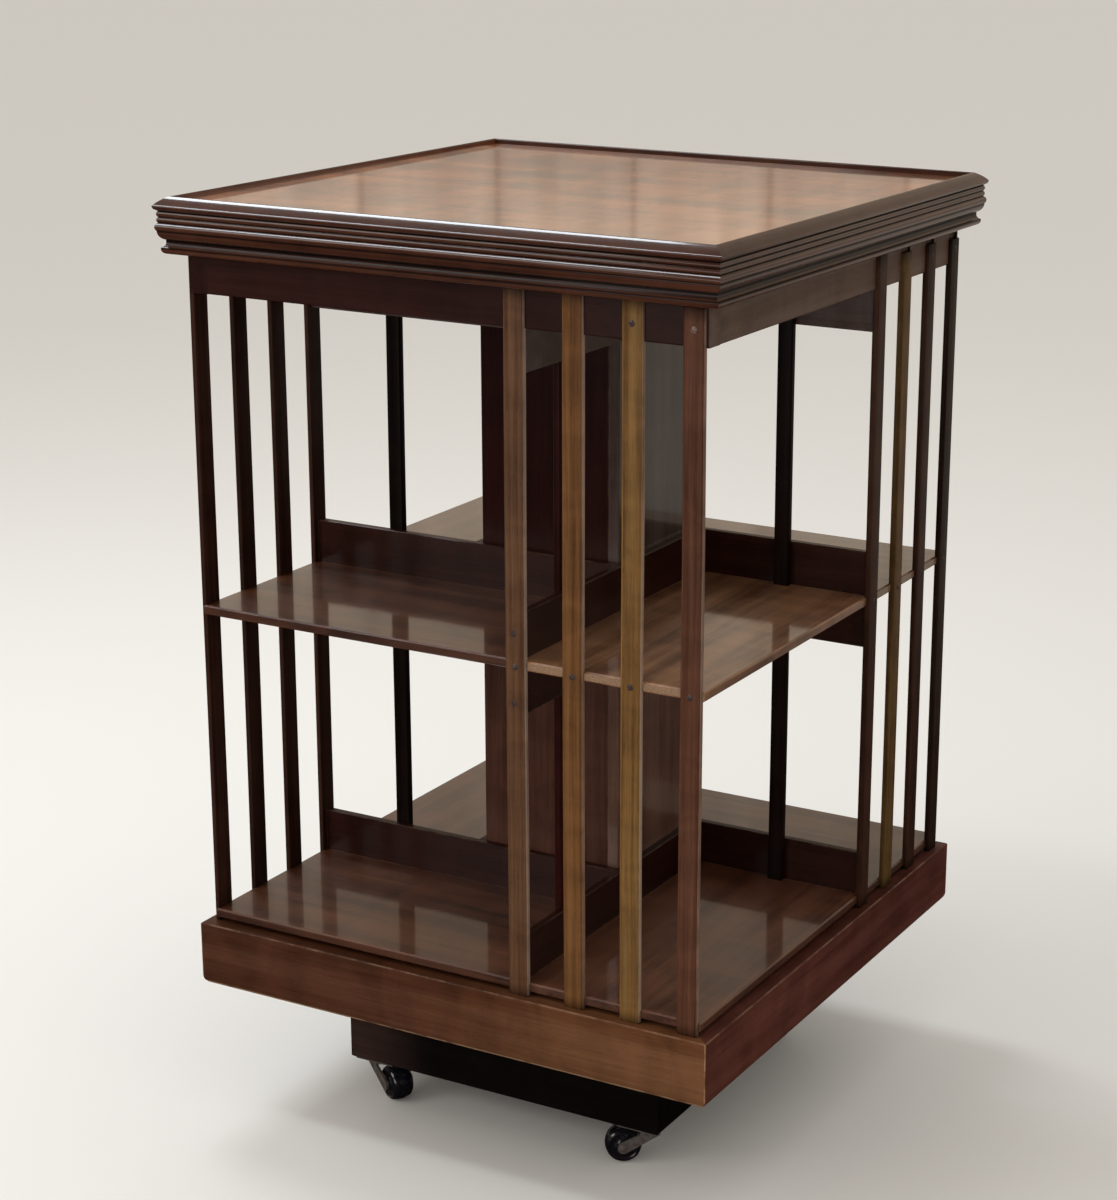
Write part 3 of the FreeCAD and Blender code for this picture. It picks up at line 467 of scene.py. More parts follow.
def board_wood(name, colour, grain, seed, node=None, far_light_and_shade=None, contrast=0.5, streaks=42.0, wander=0.012,
               figure=0.2, gloss=0.06, polish=0.14, sheen=0.12, wear=0.2, wear_width=0.0013, stained=True,
               fade=(0.35, 1.0), plus_x_painted_sheen=None, edge_shade_share=0.0, foot_wear_and_highlight=0.0):
    """Wood of a board on object coordinates, its fibres along one axis, its arrises rubbed pale.

    The colour changes to the far colour, where one is given, between two shares of the way along
    the fibres: painted light and shade along the board. Faces towards +X take the side colour, where
    one is given: a painted reflection. The upright faces of a board are darker by the given edge
    share: painted shade.
    Gloss is the weight of the lacquer and sheen the specular level of the wood below it; a stained
    board shows no tan end grain. A board that is rounded below gets a pale line at the given foot
    height on that rounding: wear, with a painted highlight of the light that the rounding catches.
    """
    material, tree, shader = new_material(
        name, Coat_Weight=gloss, Coat_Roughness=polish, Specular_IOR_Level=sheen)
    where = add(tree, "TexCoord")
    place, facing = where["Object"], where["Normal"]
    turn = GRAIN_TURN[grain]
    shade = srgb(*colour)
    # painted light and shade: the colour turns to the far colour along the fibres
    if far_light_and_shade:
        axis = "XYZ".index(grain)
        low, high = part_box(node)
        first, last = [low[axis] + share * (high[axis] - low[axis]) for share in fade]
        shade = mixed(tree, ramp(tree, part(tree, place, axis), first, last), shade, srgb(*far_light_and_shade))
    # painted reflection: faces towards +X lighter and greyer
    if plus_x_painted_sheen:
        shade = mixed(tree, ramp(tree, part(tree, facing, 0), 0.5, 0.9), shade, srgb(*plus_x_painted_sheen))
    # painted shade: the upright faces darker
    if edge_shade_share:
        level = maths(tree, "ABSOLUTE", part(tree, facing, 2))
        shade = mixed(tree, ramp(tree, level, 0.2, 0.6, edge_shade_share, 0.0), shade, srgb(*EDGE_PAINTED_SHADE))
    end = 0.0
    if not stained:
        turned = add(tree, "Mapping", {"Vector": facing, "Rotation": turn})[0]
        end = ramp(tree, maths(tree, "ABSOLUTE", part(tree, turned, 0)), 0.80, 0.95)
    shift = [seed * step for step in SEED_SHIFT]
    wood = grouped(tree, TIMBER, {
        "Place": add(tree, "Mapping", {"Vector": place, "Location": shift, "Rotation": turn})[0],
        "Colour": shade, "Contrast": contrast, "Streaks": streaks, "Wander": wander,
        "Figure": figure, "End": end})
    shown = wood["Colour"]
    if node:
        low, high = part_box(node)
        mask = grouped(tree, WORN_ARRIS, {
            "Place": place, "Low": low, "High": high, "Width": wear_width})["Mask"]
        # a pale line on the rounded foot: wear, with a painted highlight
        if foot_wear_and_highlight:
            off = maths(tree, "SUBTRACT", part(tree, place, 2), low.z + foot_wear_and_highlight)
            near = ramp(tree, maths(tree, "ABSOLUTE", off), *FOOT_LINE, 1.0, 0.0)
            patches = rubbed_patches(tree, place, 0.36, 0.50, 0.2)
            mask = maths(tree, "MAXIMUM", mask, maths(tree, "MULTIPLY", near, patches))
        pale = mixed(tree, RUBBED_AND_LIT_SHARE, shown, srgb(*RUBBED_AND_LIT_WOOD))
        shown = mixed(tree, maths(tree, "MULTIPLY", mask, wear), shown, pale)
    join_wood(tree, shader, wood, shown)
    return material


def run_wood(name, contrast, streaks, gloss, sheen, wander=0.004, polish=0.2):
    """Wood of a moulded length or a slat: fibres along U, the colour from the piece's own tone.

    The tone's alpha thins the lacquer where the tone is darkened: by painted shade in the
    moulding's quirks, and towards the ends of a slat.
    """
    material, tree, shader = new_material(name, Coat_Roughness=polish, Specular_IOR_Level=sheen)
    place = add(tree, "UVMap", uv_map="UVMap")[0]
    tone = piece_tone(tree)
    # the lacquer thins where the tone is darkened, so the painted shade also dims the quirks' reflection
    tree.links.new(maths(tree, "MULTIPLY", tone["Alpha"], gloss), shader.inputs["Coat Weight"])
    wood = grouped(tree, TIMBER, {
        "Place": place, "Colour": tone["Color"], "Contrast": contrast, "Streaks": streaks, "Wander": wander,
        "Figure": 0.25})
    join_wood(tree, shader, wood, wood["Colour"])
    return material


def metal(name, colour, roughness, tarnish, tarnished=0.5, bare=1.0):
    """Metal with blotches of tarnish that are darker and duller; without a colour it takes the tone.

    Bare is how much of it shines as metal does, and isn't dull with dirt.
    """
    material, tree, shader = new_material(name, Metallic=bare)
    place = object_place(tree)
    blotches = ramp(tree, noise(tree, place, TARNISH_SCALE, 4.0, 0.6), 0.40, 0.62)
    amount = maths(tree, "MULTIPLY", blotches, tarnished)
    unmarked = srgb(*colour) if colour else piece_tone(tree)["Color"]
    rough = maths(tree, "MULTIPLY_ADD", amount, 0.35, roughness)
    grit = noise(tree, place, GRIT_SCALE, 2.0)
    join_surface(tree, shader, mixed(tree, amount, unmarked, srgb(*tarnish)), rough, grit, GRIT_RELIEF)
    return material


def wheel_plastic():
    """Glossy black, dulled by fine scuffs and floor dust."""
    material, tree, shader = new_material("wheel_black", Coat_Weight=1.0, Coat_Roughness=0.05)
    place = object_place(tree)
    dust = ramp(tree, noise(tree, place, DUST_SCALE, 5.0, 0.65), 0.48, 0.72, 0.0, 0.5)
    rough = maths(tree, "MULTIPLY_ADD", dust, 0.5, 0.16)
    scuffs = noise(tree, place, SCUFF_SCALE, 3.0)
    join_surface(tree, shader, mixed(tree, dust, WHEEL_BLACK, WHEEL_DUST), rough, scuffs, SCUFF_RELIEF)
    return material


# ------------------------------------------------------------------ camera, floor and lights

CAMERA_AZIMUTH = 28.064
CAMERA_ELEVATION = 16.307
CAMERA_ROLL = 0.514
CAMERA_DISTANCE = 2.29755
AIM_ACROSS = 0.07124                # the point aimed at, to the right of the turning axis
AIM_HEIGHT = 0.44085
FOCAL = 2637.2                      # in pixels of the whole frame
FRAME_WIDTH, FRAME_HEIGHT = 1117, 1200
FRAME_MIDDLE = (671.1, 602.7)       # the pixel that the lens looks straight at

FAR_SIDE = (-0.47, 0.88, 0.0)       # the way from the bookcase to the wall that it mirrors
WALL_RIGHT = (0.88, 0.47, 0.0)      # along that wall
PLANK_WIDTH = 0.0515                # of the wall's planks, as a share of its distance
FIRST_PLANK = 0.0148
PLANK_STREAKS = (4.0, 9.0, 0.0)     # streaks to a plank across it, and up the wall
ROOM_FAR = (230, 213, 190)
ROOM_FAR_LOW = (162, 150, 138)
ROOM_NEAR = (56, 44, 40)
ROOM_LIGHT = (224, 221, 216)
FLOOR_PALE = (228, 225, 219)
FLOOR_SEEN = (238, 235, 230)
FLOOR_MIRRORED = (184, 176, 166)
RUG_COLOUR = (52, 24, 25)
FLOOR_SIDE = 120
SKY = (0.84, 0.92, 1.0)


def make_camera():
    azimuth, elevation = math.radians(CAMERA_AZIMUTH), math.radians(CAMERA_ELEVATION)
    level = math.cos(elevation)
    back = Vector((math.sin(azimuth) * level, -math.cos(azimuth) * level, math.sin(elevation)))
    right = Vector((math.cos(azimuth), math.sin(azimuth), 0))
    up = back.cross(right)
    aim = right * AIM_ACROSS + Vector((0, 0, AIM_HEIGHT))
    data = bpy.data.cameras.new("camera")
    camera = bpy.data.objects.new("camera", data)
    bpy.context.scene.collection.objects.link(camera)
    turn = Matrix((right, up, back)).transposed().to_4x4()
    roll = Matrix.Rotation(math.radians(CAMERA_ROLL), 4, "Z")
    camera.matrix_world = Matrix.Translation(aim + back * CAMERA_DISTANCE) @ turn @ roll
    data.sensor_width = 36
    data.lens = FOCAL / FRAME_HEIGHT * data.sensor_width
    data.shift_x = (FRAME_WIDTH / 2 - FRAME_MIDDLE[0]) / FRAME_HEIGHT
    data.shift_y = (FRAME_MIDDLE[1] - FRAME_HEIGHT / 2) / FRAME_HEIGHT
    data.clip_end = 200
    bpy.context.scene.camera = camera


def soft_light(name, place, aim, width, height, power, colour):
    """A flat lamp that faces the aim, its width as nearly along X as that allows."""
    data = bpy.data.lights.new(name, "AREA")
    data.shape = "RECTANGLE"
    data.size, data.size_y = width, height
    data.energy = power
    data.color = colour
    lamp = bpy.data.objects.new(name, data)
    bpy.context.scene.collection.objects.link(lamp)
    ahead = (Vector(aim) - Vector(place)).normalized()
    side = (Vector((1, 0, 0)) - ahead * ahead.x).normalized()
    turn = Matrix((side, side.cross(ahead), -ahead)).transposed().to_4x4()
    lamp.matrix_world = Matrix.Translation(place) @ turn


def make_floor():
    """A wide pale floor; mirrored, it is dark round the bookcase and on the near side, as a rug is."""
    bpy.ops.mesh.primitive_plane_add(size=FLOOR_SIDE, location=(0, 0, 0))
    floor = bpy.context.object
    floor.name = "floor"
    material, tree, shader = new_material("floor_pale", Roughness=0.8, Specular_IOR_Level=0.2)
    place = object_place(tree)
    distance = add(tree, "VectorMath", {0: place}, operation="LENGTH")["Value"]
    far = ramp(tree, dot(tree, place, FAR_SIDE), 0.0, 0.8)
    beyond = maths(tree, "MULTIPLY", ramp(tree, distance, 1.1, 2.2), far)
    mirrored = mixed(tree, beyond, srgb(*RUG_COLOUR), srgb(*FLOOR_MIRRORED))
    rays = add(tree, "LightPath")
    lit = mixed(tree, rays["Is Glossy Ray"], srgb(*FLOOR_PALE), mirrored)
    seen = mixed(tree, rays["Is Camera Ray"], lit, srgb(*FLOOR_SEEN))
    tree.links.new(seen, shader.inputs["Base Color"])
    floor.data.materials.append(material)


def make_room():
    """The world: even where it lights or is seen, and a pale planked wall where it is mirrored.

    The wall stands on the far side. It is brightest just above its darker foot, and streaked up and
    down, with a dark joint every PLANK_WIDTH.
    """
    world = bpy.data.worlds.new("room")
    bpy.context.scene.world = world
    world.use_nodes = True
    tree = world.node_tree
    direction = add(tree, "TexCoord")["Generated"]
    far, right = dot(tree, direction, FAR_SIDE), dot(tree, direction, WALL_RIGHT)
    up = part(tree, direction, 2)
    pale = mixed(tree, ramp(tree, up, 0.108, 0.155), srgb(*ROOM_FAR_LOW), srgb(*ROOM_FAR))
    across = maths(tree, "ADD", maths(tree, "DIVIDE", right, far), FIRST_PLANK)
    planks = maths(tree, "DIVIDE", across, PLANK_WIDTH)
    joints = ramp(tree, maths(tree, "PINGPONG", planks, 0.5), 0.008, 0.030, 0.45, 1.0)
    fibres = add(tree, "CombineXYZ", {"X": planks, "Y": up})[0]
    fibres = vectors(tree, "MULTIPLY", fibres, PLANK_STREAKS)
    streaks = ramp(tree, noise(tree, fibres, 1.0, 4.0, 0.6), 0.35, 0.65, 0.80, 1.12)
    height = ramp(tree, up, 0.16, 0.42, 1.0, 0.42)
    light = maths(tree, "MULTIPLY", maths(tree, "MULTIPLY", joints, streaks), height)
    wall = mixed(tree, ramp(tree, far, 0.1, 0.6), srgb(*ROOM_NEAR), scaled(tree, pale, light))
    rays = add(tree, "LightPath")
    mirrors = maths(tree, "MAXIMUM", rays["Is Glossy Ray"], rays["Is Transmission Ray"])
    shown = mixed(tree, mirrors, srgb(*ROOM_LIGHT), wall)
    tree.links.new(shown, tree.nodes["Background"].inputs["Color"])


def make_lamps():
    """A key from the left, a low fill, and two cool skylights.

    The one behind glints on the crest of the front moulding, where it slopes by 20 to 30 degrees.
    The other hangs just far enough in front to reach past the nose to the shoulder of the big bead,
    where that slopes by 45 to 50 degrees, and nothing else there does.
    """
    middle = (0, 0, 0.45)
    soft_light("key", (-1.9, -2.3, 2.0), middle, 1.4, 1.8, 21, (1.0, 0.97, 0.94))
    soft_light("fill", (-0.3, -2.3, 0.45), (0, 0, 0.3), 1.5, 0.7, 5, (1.0, 0.96, 0.93))
    soft_light("skylight_behind", (-1.26, 0.70, 2.46), (0, -0.25, 0.8), 0.86, 0.6, 17, SKY)
    soft_light("skylight_before", (-1.26, -0.81, 2.62), (0, -0.25, 0.78), 1.26, 0.28, 13, SKY)


# ------------------------------------------------------------------ the wood that is carried along

def moulding_outline():
    """The moulding's section, as insets from the nose and heights from the crest, and its shade.

    From each corner a run goes to the next, straight or rounded: up the rim's inner wall, over the
    sloping nose, down the outside by lip, two small beads, big bead, ovolo, cove and foot,
    then back up the apron and round the rebate that holds the top board. Shade is painted into the
    quirks, where old polish also lies: the tone's factor grows with the distance from the nearest
    one, up to 1 at the reach of the shading.
    """
    board_low = CREST - PANEL_LOW
    lip = NOSE_HEIGHT + NOSE_LIP
    beads = lip + QUIRK_HEIGHT
    second_bead = beads + SMALL_BEAD_HEIGHT
    big_bead = second_bead + SMALL_BEAD_HEIGHT
    ovolo = big_bead + BIG_BEAD_HEIGHT
    fillet = ovolo + OVOLO_HEIGHT
    cove = fillet + COVE_FILLET
    foot = cove + COVE_HEIGHT
    foot_round = foot + FOOT_HEIGHT
    low = foot_round + FOOT_ROUND_HEIGHT
    apron = HALF_TOP - APRON_FACE
    corners = [                     # inset, depth, bulge of the run that follows, its steps
        (RIM_WIDTH, board_low, 0, 1),
        (RIM_WIDTH, RIM_ROUND, RIM_ROUND * QUARTER_ARC, 4),
        (RIM_WIDTH - RIM_ROUND, 0, 0, 1),
        (NOSE_WIDTH, 0, NOSE_BULGE, 12),
        (NOSE_EDGE / 2, NOSE_HEIGHT - NOSE_EDGE, NOSE_EDGE / 3, 4),
        (NOSE_EDGE / 3, NOSE_HEIGHT + NOSE_EDGE, 0, 1),
        (NOSE_LIP_INSET, lip, 0, 1),
        (SMALL_BEAD_INSET, beads, SMALL_BEAD_BULGE, 8),
        (SMALL_BEAD_INSET, second_bead, SMALL_BEAD_BULGE, 8),
        (SMALL_BEAD_INSET, big_bead, 0, 1),
        (SHOULDER_START, big_bead, SHOULDER_BULGE, 4),
        (SHOULDER_END, big_bead + SHOULDER_DROP, BEAD_BULGE_BELOW, 10),
        (BIG_BEAD_INSET, ovolo, OVOLO_BULGE, 10),
        (OVOLO_INSET, fillet, 0, 1),
        (OVOLO_INSET, cove, -COVE_BULGE, 8),
        (FOOT_INSET, foot, 0, 1),
        (FOOT_INSET, foot_round, FOOT_BULGE, 5),
        (FOOT_INSET + FOOT_ROUND_WIDTH, low, 0, 1),
        (apron, low, 0, 1),
        (apron, board_low, 0, 1),
    ]
    quirks = np.array([
        (SMALL_BEAD_INSET, -beads), (SMALL_BEAD_INSET, -second_bead), (SMALL_BEAD_INSET, -big_bead),
        (BIG_BEAD_INSET, -ovolo), (OVOLO_INSET, -fillet), (OVOLO_INSET, -cove),
        (OVOLO_INSET, -cove - COVE_HEIGHT / 2), (FOOT_INSET, -foot)])
    outline = np.concatenate([
        arc((inset, -depth), (ahead[0], -ahead[1]), bulge, steps)
        for (inset, depth, bulge, steps), ahead in zip(corners, corners[1:] + corners[:1])])
    # painted shade, darkest at the quirks
    gaps = np.linalg.norm(outline[:, None] - quirks, axis=2).min(axis=1)
    return outline, np.clip(gaps / QUIRK_SHADING_REACH, QUIRK_PAINTED_SHADE, 1)


def make_mouldings(material):
    """Each length is the outline carried along its face between the two mitres.

    At u from -1 to 1 along the face, x = u (HALF_TOP - inset), y = -(HALF_TOP - inset) and
    z = CREST + height, so that both ends lie in the mitre planes.
    """
    outline, shade = moulding_outline()
    inset, height = outline.T
    u = np.linspace(-1, 1, LENGTH_ROWS)[:, None]
    ahead = HALF_TOP - inset[None, :]
    points = np.stack([u * ahead, -ahead + 0 * u, CREST + height[None, :] + 0 * u], axis=-1)
    for quarter, face in enumerate(FACES):
        uv = unrolled(u[:, 0] * HALF_TOP + 1.3 * quarter, run_round(outline) + 0.7 * quarter)
        # the tone takes the painted shade of the quirks
        tone = shade[:, None] * np.array(srgb(*MOULDING_TONE))
        # the left length's inner wall is painted lighter: painted light
        tone[:INNER_WALL_POINTS] *= INNER_WALL_PAINTED_LIGHT.get(face, 1)
        block = (turned_by(points, quarter), uv, tone)
        piece = mesh_piece(f"moulding_{face}", [block], material, "case", sharp=28)
        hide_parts(f"top_moulding_{face}")


def rounded_section(low, high, low_round, high_round, steps=5):
    """A rectangle in the plan, its two low and its two high corners rounded, anticlockwise."""
    (x0, y0), (x1, y1) = low, high
    a, b = low_round, high_round
    corners = [
        (x0 + a, y0, 0), (x1 - a, y0, a), (x1, y0 + a, 0), (x1, y1 - b, b),
        (x1 - b, y1, 0), (x0 + b, y1, b), (x0, y1 - b, 0), (x0, y0 + a, a),
    ]
    after = corners[1:] + corners[:1]
    return np.concatenate([
        arc((x, y), ahead[:2], radius * QUARTER_ARC, steps)
        for (x, y, radius), ahead in zip(corners, after)])


def upright(outline, low, high, seed):
    """A slat: its section carried upwards, strayed sideways by a slow sine, its ends drawn in.

    x = section x + SLAT_BOW sin(2 pi t + seed), with t from 0 at the foot to 1 at the head; over the last
    few tenths of a millimetre the section shrinks towards its middle, which rounds the end's arris.
    The third thing returned darkens the tone, row by row, towards the ends.
    """
    end = np.array([0, SLAT_END_ROUND, SLAT_END_DARK_REACH])
    heights = np.concatenate([low + end, np.linspace(low, high, LENGTH_ROWS)[1:-1], high - end[::-1]])
    t = (heights - low) / (high - low)
    shrink = np.ones(len(t))
    shrink[[0, -1]] = SLAT_END_SHRINK
    middle = outline.mean(0)
    section = middle + (outline - middle) * shrink[:, None, None]
    x = section[..., 0] + (SLAT_BOW * np.sin(2 * math.pi * t + seed))[:, None]
    points = np.stack([x, section[..., 1], heights[:, None] + 0 * x], axis=-1)
    unmarked = np.minimum(np.minimum(heights - low, high - heights) / SLAT_END_DARK_REACH, 1)
    shade = (SLAT_END_DARKNESS + (1 - SLAT_END_DARKNESS) * unmarked)[:, None, None]
    return points, unrolled(heights + 0.91 * seed, run_round(outline) + 0.37 * seed), shade


# each slat has its own tone; the faces differ in level as painted light and shade, the front lightest
SLAT_TONES = {
    "front": [(86, 60, 42), (98, 66, 36), (108, 80, 44), (80, 50, 36)],
    "right": [(56, 35, 25), (84, 62, 34), (52, 32, 22), (42, 27, 19)],
    "back": [(70, 44, 30), (78, 50, 34), (64, 40, 28), (74, 48, 32)],
    "left": [(52, 31, 23), (48, 28, 21), (44, 26, 20), (50, 29, 22)],
}
# the inner slats are near black: painted shade inside the case
INNER_SLAT_SHADE_TONES = {
    "front": (20, 11, 8), "right": (44, 13, 10), "back": (26, 15, 11), "left": (22, 12, 9)}
# the pale colour of the slats' sides towards the corner: a painted highlight
SIDE_HIGHLIGHT_TONE = (150, 130, 118)
SIDE_LIGHT_SHARE = {"front": 0.6}        # how far the sides towards the corner of the case are painted paler: a painted highlight


def make_slats(material):
    """The outer slats of each face."""
    for quarter, face in enumerate(FACES):
        blocks = []
        for number, tone in enumerate(SLAT_TONES[face]):
            left = SLATS_LOW.x + number * SLAT_PITCH
            outline = rounded_section(
                (left, SLATS_LOW.y), (left + SLAT_WIDTH, SLATS_HIGH.y), SLAT_FACE_ROUND, SLAT_BACK_ROUND)
            seed = 1.0 + number + SLAT_COUNT * quarter
            head = SLATS_HIGH.z + HEAD_RISES[face][number]
            points, uv, shade = upright(outline, SLATS_LOW.z, head, seed)
            # the sides towards the corner of the case are painted paler: a painted highlight
            on_side = outline[:, :1] > left + SLAT_WIDTH - SLAT_FACE_ROUND / 4
            rubbed = SIDE_LIGHT_SHARE.get(face, 0) * on_side
            tones = (1 - rubbed) * np.array(srgb(*tone)) + rubbed * np.array(srgb(*SIDE_HIGHLIGHT_TONE))
            blocks.append((turned_by(points, quarter), uv, shade * tones))
        piece = mesh_piece(f"slat_set_{face}", blocks, material, "case")
        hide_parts(f"slats_{face}")


def make_inner_slats(material):
    """The narrow slats behind the rails, one on each face."""
    low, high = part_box("mid_slats")
    rail_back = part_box("middle_rail_front")[1].y
    outline = rounded_section(
        (low.x, rail_back), (low.x + MID_SLAT_WIDTH, rail_back + MID_SLAT_THICKNESS),
        MID_SLAT_ROUND, MID_SLAT_ROUND)
    blocks = []
    for quarter, face in enumerate(FACES):
        points, uv, shade = upright(outline, low.z, high.z, MID_SLAT_SEED + quarter)
        # each inner slat takes its painted shade
        blocks.append((turned_by(points, quarter), uv, shade * np.array(srgb(*INNER_SLAT_SHADE_TONES[face]))))
    piece = mesh_piece("inner_slat_set", blocks, material, "case")
    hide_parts("mid_slats")


# ------------------------------------------------------------------ screws, rivets and wheels

def lathed(profile, place, axis, steps):
    """A profile of (radius, rise) rows turned about an axis through a place.

    The point at angle a is place + rise axis + radius (cos a across + sin a up), where across, up and
    the axis are at right angles; the ends are closed by mesh_piece.
    """
    axis = Vector(axis).normalized()
    across = axis.orthogonal().normalized()
    up = axis.cross(across)
    angle = np.linspace(0, 2 * math.pi, steps, endpoint=False)
    radius, rise = np.array(profile).T
    round_it = np.cos(angle)[:, None] * np.array(across) + np.sin(angle)[:, None] * np.array(up)
    points = np.array(place) + rise[:, None, None] * np.array(axis) + radius[:, None, None] * round_it
    uv = unrolled(np.cumsum(np.hypot(*np.diff(np.array(profile), axis=0, prepend=profile[:1]).T)),
                  np.linspace(0, 2 * math.pi, steps + 1) * radius.max())
    return points, uv


def dome(radius, height):
    """Half a lens on its own cylinder, from the rim to near the top: height (1 - (r / radius)^2)."""
    inward = np.linspace(1, 0.04, 7)
    rows = np.stack([radius * inward, height * (1 - inward ** 2)], axis=-1)
    return [(radius, -height / 2)] + rows.tolist()


def screw_head(place, axis, turn, tone):
    """A domed head with a slot, which is turned by an angle that differs from screw to screw.

    It is the dome of dome(), let down by SLOT_DEPTH where the distance from the slot's middle line is
    under SLOT_HALF.
    """
    points, uv = lathed(dome(SCREW_RADIUS, SCREW_DOME), place, axis, SCREW_STEPS)
    axis = np.array(axis, float)
    across = np.array(Vector(axis).orthogonal().normalized())
    away = math.cos(turn) * across + math.sin(turn) * np.cross(axis, across)
    in_slot = np.abs((points - np.array(place)) @ away) < SLOT_HALF
    in_slot[0] = False
    return points - SLOT_DEPTH * in_slot[..., None] * axis, uv, srgb(*tone)


def make_slat_screws(material):
    """Screws into the edge of the middle shelf, and into the apron on the slats near the corner.

    Above and below one of them two old screw holes are stopped with dark plugs, on the front face.
    """
    edge_low, edge_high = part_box("middle_shelf_front")
    shelf_level = (edge_low.z + edge_high.z) / 2 - SHELF_SCREW_DROP
    apron_level = SLATS_HIGH.z - APRON_SCREW_DROP
    for quarter, face in enumerate(FACES):
        blocks = []
        for number in range(SLAT_COUNT):
            x = SLATS_LOW.x + SLAT_WIDTH / 2 + number * SLAT_PITCH
            for z in [shelf_level] + [apron_level] * (number >= APRON_SCREW_FROM):
                place = turned_by(np.array((x, SLATS_LOW.y, z)), quarter)
                axis = turned_by(np.array((0.0, -1.0, 0.0)), quarter)
                bright = face == "front" and number == SLAT_COUNT - 1 and z == apron_level
                turn = 0.7 + 1.9 * number + 13.0 * z + 0.8 * quarter
                blocks.append(screw_head(place, axis, turn, BRIGHT_SCREW if bright else DULL_SCREW))
            if face == "front" and number == 0:
                for rise in OLD_HOLES:
                    place = (x - PLUG_SHIFT, SLATS_LOW.y, shelf_level + rise)
                    plug = dome(SCREW_RADIUS, PLUG_DOME)
                    points, uv = lathed(plug, place, (0, -1, 0), RIVET_STEPS)
                    blocks.append((points, uv, srgb(*OLD_HOLE)))
        mesh_piece(f"slat_screws_{face}", blocks, material, "case")


def make_plate_screws(material):
    """Four screws in each of the plates of flange, guide bush, bearing cup and castors."""
    up, down = (0, 0, 1), (0, 0, -1)
    corners = [(1, 1), (1, -1), (-1, -1), (-1, 1)]
    flange_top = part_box("base_board")[1].z + FLANGE_THICKNESS
    plates = [
        ("base", (0, 0, flange_top), SHAFT_PLATE_SCREW, up),
        ("case", (0, 0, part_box("guide_bush")[1].z), BUSH_PLATE_SCREW, up),
        ("case", (0, 0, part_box("bearing_cup")[0].z), BUSH_PLATE_SCREW, down),
    ]
    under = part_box("castor_plates")[1].z - CASTOR_PLATE_THICKNESS
    for number in CASTORS:
        x, y = JOINTS[f"castor_{number}_swivel"]["pos_m"][:2]
        plates.append(("base", (x, y, under), CASTOR_PLATE_SCREW, down))
    for body in ("base", "case"):
        blocks = []
        for number, (owner, (x, y, z), reach, axis) in enumerate(plates):
            if owner == body:
                for right, back in corners:
                    place = (x + reach * right, y + reach * back, z)
                    blocks.append(screw_head(place, axis, number + right + 0.6 * back, STEEL_TONE))
        mesh_piece(f"plate_screws_{body}", blocks, material, body)


def make_rivets(material):
    """The headed ends of each axle, on the outsides of the fork's arms."""
    for number in CASTORS:
        joint = JOINTS[f"castor_{number}_roll"]
        axis, middle = Vector(joint["axis"]), Vector(joint["pos_m"])
        blocks = []
        for way in (axis, -axis):
            rivet = dome(RIVET_RADIUS, RIVET_DOME)
            points, uv = lathed(rivet, middle + way * FORK_OUTSIDE, way, RIVET_STEPS)
            blocks.append((points, uv, srgb(*STEEL_TONE)))
        mesh_piece("rivets_" + joint["parent"], blocks, material, joint["parent"])


def wheel_profile():
    """Half a wheel's profile from its hub to its crown, as (radius, distance from the middle).

    A flat hub, a dished side, a ring, a rounded shoulder, a groove and the crowned tread.
    """
    corners = [                     # radius, distance, bulge of the run that follows, its steps
        (0.0020, WHEEL_HALF - 0.0002, 0, 1),
        (0.0050, WHEEL_HALF, 0, 1),
        (0.0056, WHEEL_HALF - 0.0004, -0.0006, 8),
        (0.0118, WHEEL_HALF - 0.0008, 0, 1),
        (0.0124, WHEEL_HALF - 0.0002, 0.0002, 4),
        (0.0134, WHEEL_HALF - 0.0006, 0.0005, 8),
        (WHEEL_RADIUS - 0.0009, 0.0056, 0, 1),
        (WHEEL_RADIUS - GROOVE_DEPTH, 0.0052, 0, 1),
        (WHEEL_RADIUS - GROOVE_DEPTH, 0.0048, 0, 1),
        (WHEEL_RADIUS - 0.0006, 0.0045, 0.00012, 6),
        (WHEEL_RADIUS, 0.0, 0, 1),
    ]
    runs = [
        arc((radius, distance), ahead[:2], -bulge, steps)
        for (radius, distance, bulge, steps), ahead in zip(corners, corners[1:])]
    return np.concatenate(runs + [np.array([corners[-1][:2]])])


def make_wheels(material):
    """The wheel's profile and its mirror image, turned about each axle."""
    half = wheel_profile()
    profile = np.concatenate([half, half[-2::-1] * (1, -1)])[::-1]
    for number in CASTORS:
        joint = JOINTS[f"castor_{number}_roll"]
        points, uv = lathed(profile, joint["pos_m"], joint["axis"], WHEEL_STEPS)
        piece = mesh_piece(f"wheel_{number}", [(points, uv, (1, 1, 1, 1))], material,
                           joint["child"], sharp=30)
        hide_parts(f"castor_{number}_wheel")


# ------------------------------------------------------------------ the scene

def paint(node, material):
    """Gives a CAD node its finish."""
    materials = frame["nodes"][node].data.materials
    if not materials:
        materials.append(material)
    for index in range(len(materials)):
        materials[index] = material


# the shelves' upright faces are painted darker: painted shade
SHELF_POLISH_AND_SHADE = {
    "contrast": 0.8, "figure": 0.3, "gloss": 1.0, "polish": 0.08, "sheen": 0.4, "wear": 0.6,
    "wear_width": 0.0010, "edge_shade_share": 0.35}
# the right compartment's middle board is painted lighter: painted light from the right
SHELF_COLOURS = {                   # of the middle and the bottom board
    "front": [(82, 46, 25), (84, 48, 28)],
    "right": [(138, 98, 68), (92, 56, 38)],
    "back": [(82, 46, 25), (80, 46, 28)],
    "left": [(82, 46, 25), (80, 46, 28)],
}
